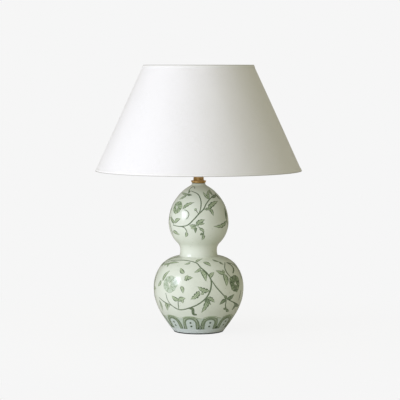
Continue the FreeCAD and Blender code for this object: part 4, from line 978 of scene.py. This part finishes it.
# die-cut felt: a disc with a soft edge, pressed flat under the foot ring
FELT = [(0.02, 0.0), (52.5, 0.0), (54.0, 0.35), (54.5, 1.2), (54.3, 2.0), (53.6, 2.48), (0.02, 2.48)]


def threaded_tube(name, bore, crest, depth, pitch, low, high, plain_low, plain_high, lip=None):
    """A tube whose outside is a rounded screw thread.

    The outer radius is crest - depth * (1 - cos(2 pi height / pitch - turn)) / 2, fading to
    plain crest over the given plain lengths at each end. lip is (radius, thickness) of a
    turned-in rim at the top.
    """
    rows = int((high - low) / pitch * THREAD_ROWS_A_TURN)
    height = np.linspace(low, high, rows)[:, None]
    turn = np.linspace(0, 2 * np.pi, THREAD_SIDES, endpoint=False)[None, :]
    fade = np.clip((height - low) / plain_low, 0, 1) * np.clip((high - height) / plain_high, 0, 1)
    outside = crest - depth * fade * (1 - np.cos(2 * np.pi * height / pitch - turn)) / 2
    inside = np.array([(bore, high), (bore, low)])
    if lip:
        inside = np.array([(lip[0], high), (lip[0], high - lip[1]), (bore, high - lip[1]), (bore, low)])
    radius = np.concatenate([outside, inside[:, :1] + 0 * turn])
    up = np.concatenate([height, inside[:, 1:]]) + 0 * turn
    points = np.stack([radius * np.cos(turn), radius * np.sin(turn), up], -1).reshape(-1, 3)
    tube = new_object(name, points * MM, grid_faces(len(radius), THREAD_SIDES, True, True))
    tube.data.set_sharp_from_angle(angle=math.radians(50))
    return tube


# ---- stage ----

BACKDROP = "#F6F6F6"
KEY_COLOUR = "#E8EBFF"
FILL_COLOUR = "#FFFCE4"
FLOOR_SHARE = 0.14
FLOOR_REACH = 0.75
FLOOR_GAIN = 0.6
FLOOR_CORNERS = [(-6, -4.5, 0), (6, -4.5, 0), (6, 9, 0), (-6, 9, 0)]
LIGHTS_AIM = Vector((0, 0, 0.3))


def stage_floor():
    """A pale table top, seen mostly as plain backdrop colour with the object's soft shadow.

    Its diffuse share falls from FLOOR_SHARE near the lamp to none at FLOOR_REACH metres.
    From below it is clear.
    """
    floor = new_object("floor", FLOOR_CORNERS, [(0, 1, 2, 3)], False)
    made, tree, place = new_material("pale_table_top")
    away = add(tree, "VectorMath", {"operation": "LENGTH"}, out="Value", in0=place)
    near = add(tree, "MapRange", Value=away, From_Min=0.15, From_Max=FLOOR_REACH, To_Min=FLOOR_SHARE,
               To_Max=0.0)
    lit = add(tree, "BsdfDiffuse", Color=linear("#D6D5D2"))
    strength = add(tree, "MapRange", Value=near, To_Min=1.0, To_Max=1.0 + FLOOR_GAIN)
    backdrop = add(tree, "Emission", Color=linear(BACKDROP), Strength=strength)
    seen = add(tree, "LightPath", out="Is Camera Ray")
    rest = add(tree, "Math", {"operation": "SUBTRACT"}, in0=1.0, in1=near)
    share = add(tree, "Math", {"operation": "MULTIPLY"}, in0=seen, in1=rest)
    mixed = add(tree, "MixShader", in0=share, in1=lit, in2=backdrop)
    under = add(tree, "NewGeometry", out="Backfacing")
    sided = add(tree, "MixShader", in0=under, in1=mixed, in2=add(tree, "BsdfTransparent"))
    add(tree, "OutputMaterial", Surface=sided)
    floor.data.materials.append(made)


def stage_light(name, towards, distance, size, power, gleams=True):
    """A round soft box facing LIGHTS_AIM from a direction, seen in gloss where it gleams."""
    lamp = bpy.data.lights.new(name, "AREA")
    lamp.shape = "DISK"
    lamp.size = size
    lamp.energy = power
    lamp.color = linear(KEY_COLOUR)[:3]
    thing = bpy.data.objects.new(name, lamp)
    way = Vector(towards).normalized()
    thing.location = way * distance + LIGHTS_AIM
    thing.rotation_euler = (-way).to_track_quat("-Z", "Y").to_euler()
    thing.visible_glossy = gleams
    bpy.context.scene.collection.objects.link(thing)


def stage_world(fill, gleam):
    """Pale studio air: plain backdrop colour to the eye, warm fill on faces and in gloss."""
    world = bpy.data.worlds.new("studio")
    world.use_nodes = True
    tree = world.node_tree
    tree.nodes.clear()
    path = add(tree, "LightPath").node.outputs
    shown = add(tree, "Background", Color=linear(BACKDROP), Strength=1.0)
    air = add(tree, "Background", Color=linear(FILL_COLOUR), Strength=fill)
    mirrored = add(tree, "Background", Color=linear(FILL_COLOUR), Strength=gleam)
    lit = add(tree, "MixShader", in0=path["Is Glossy Ray"], in1=air, in2=mirrored)
    mixed = add(tree, "MixShader", in0=path["Is Camera Ray"], in1=lit, in2=shown)
    add(tree, "OutputWorld", Surface=mixed)
    bpy.context.scene.world = world


def stage_camera():
    """The photograph's long lens, turned down to AIM_HEIGHT on the lamp's axis."""
    camera = bpy.data.cameras.new("camera")
    camera.sensor_width = SENSOR
    camera.lens = FOCAL_PIXELS / IMAGE * SENSOR
    camera.clip_end = 60
    thing = bpy.data.objects.new("camera", camera)
    thing.location = (CAMERA_SIDE, -CAMERA_AWAY, CAMERA_HEIGHT)
    aim = Vector((CAMERA_SIDE, 0, AIM_HEIGHT)) - thing.location
    thing.rotation_euler = aim.to_track_quat("-Z", "Y").to_euler()
    bpy.context.scene.collection.objects.link(thing)
    bpy.context.scene.camera = thing


# ---- build ----

def place_piece(thing, finish, body, slot, *nodes):
    """The piece gets its finish, rides its body and stands for these CAD nodes, which it hides. slot is not
    used.
    """
    thing.data.materials.append(finish)
    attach(thing, body)
    if nodes:
        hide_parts(*nodes)


place_piece(build_gourd(), celadon_glaze(), "lamp", "glazed_body", "gourd_body")
for painted in (paint_vine("painted_upper_vine", UPPER_STEMS, UPPER_LEAVES, UPPER_FLOWERS, UPPER_LINKS),
                paint_vine("painted_lower_vine", LOWER_STEMS, LOWER_LEAVES, LOWER_FLOWERS, LOWER_LINKS),
                paint_lappets()):
    place_piece(painted, brushed_underglaze(), "lamp", "glazed_body")

cloth = linen()
tape = hem_tape()
place_piece(linen_cover(), cloth, "shade", "shade_linen", "shade_cover")
place_piece(folded_hem("bottom_hem_tape", SHADE_FOOT, 1), tape, "shade", "shade_hem", "shade_bottom_hem")
place_piece(folded_hem("top_hem_tape", SHADE_HEAD, -1), tape, "shade", "shade_hem", "shade_top_hem")
place_piece(lapped_seam(), cloth, "shade", "shade_linen")

# injection moulded nylon: milky white with a low, even gloss
nylon = plain("moulded_nylon", "#E9E7E0", "#E3E0D8", 0.42, 0.0, 6, 0.01)
place_piece(threaded_tube("threaded_sleeve", **SLEEVE), nylon, "lamp", "white_nylon", "holder_sleeve")
# rolled nickel plate: a warm grey mirror along each thread
nickel = plain("nickel_screw_cap", "#C9C6BE", "#B4B0A6", 0.3, 1.0)
place_piece(threaded_tube("threaded_bulb_cap", **SCREW_CAP), nickel, "bulb", "bulb_cap_metal", "bulb_cap")
# pressed wool felt, made near black so its colour also carries painted shade under the foot: no gloss, rough
# as fur
felt_with_foot_shade = plain("wool_felt", "#161716", "#0E0F0E", 0.95, 0.0, 1.5, 0.3, 0.1)
place_piece(turned("felt_pad", FELT, 128), felt_with_foot_shade, "lamp", "felt", "foot_felt")

# finishes of the CAD's own nodes, with what each gives the eye
FINISHES = {
    # zinc plate: cool grey metal, half dull and faintly clouded
    "zinc_steel": plain("zinc_plated_steel", "#A9ACAE", "#8E9193", 0.36, 1.0, 2.5),
    # moulded rubber: soft black without a sharp highlight
    "bush_rubber": plain("black_rubber", "#26262A", "#1B1B1E", 0.6, 0.0, 2),
    # moulded nylon: warm white, waxy
    "white_nylon": plain("white_nylon_mouldings", "#EBE9E3", "#E3E1DA", 0.45, 0.0, 6, 0.01),
    "aged_brass": aged_brass(),
    # bright rolled brass, kept clean by the bulb's touch
    "contact_brass": plain("bright_contact_brass", "#D4B36A", "#BF9A50", 0.28, 1.0, 2),
    # pressed and fired steatite: ivory, smooth
    "core_ceramic": plain("steatite_core", "#E8E5DA", "#DDD9CC", 0.35, 0.0, 3, 0.01),
    # moulded phenolic: brown-black and glossy
    "black_plastic": plain("black_phenolic", "#1D1B1A", "#282523", 0.3, 0.0, 4, 0.01),
    # powder coat over wire: white with a fine orange-peel
    "white_wire": plain("white_powder_coated_wire", "#E6E4DE", "#D9D7D0", 0.5, 0.0, 1.2, 0.02),
    "bulb_glass": frosted_glass(),
    # poured glass: near black and wet
    "vitrite": plain("black_glass_insulator", "#15130F", "#242019", 0.15, 0.0, 3, 0.01),
    # a drop of solder: grey, half bright
    "bulb_cap_metal": plain("solder_contact", "#A7A59F", "#8F8D87", 0.4, 1.0, 1.5),
}
for part in frame["record"]["subparts"]:
    if part["material_slot"] in FINISHES:
        for holder in frame["nodes"][part["node"]].material_slots:
            holder.material = FINISHES[part["material_slot"]]

stage_floor()
stage_light("key_softbox", towards=(-0.83, -0.47, 0.30), distance=2.2, size=0.9, power=15.5)
stage_light("front_scrim", towards=(-0.53, -0.85, 0.04), distance=2.6, size=1.5, power=42, gleams=False)
stage_world(fill=0.465, gleam=0.2)
stage_camera()
bpy.context.scene.view_settings.view_transform = "Standard"
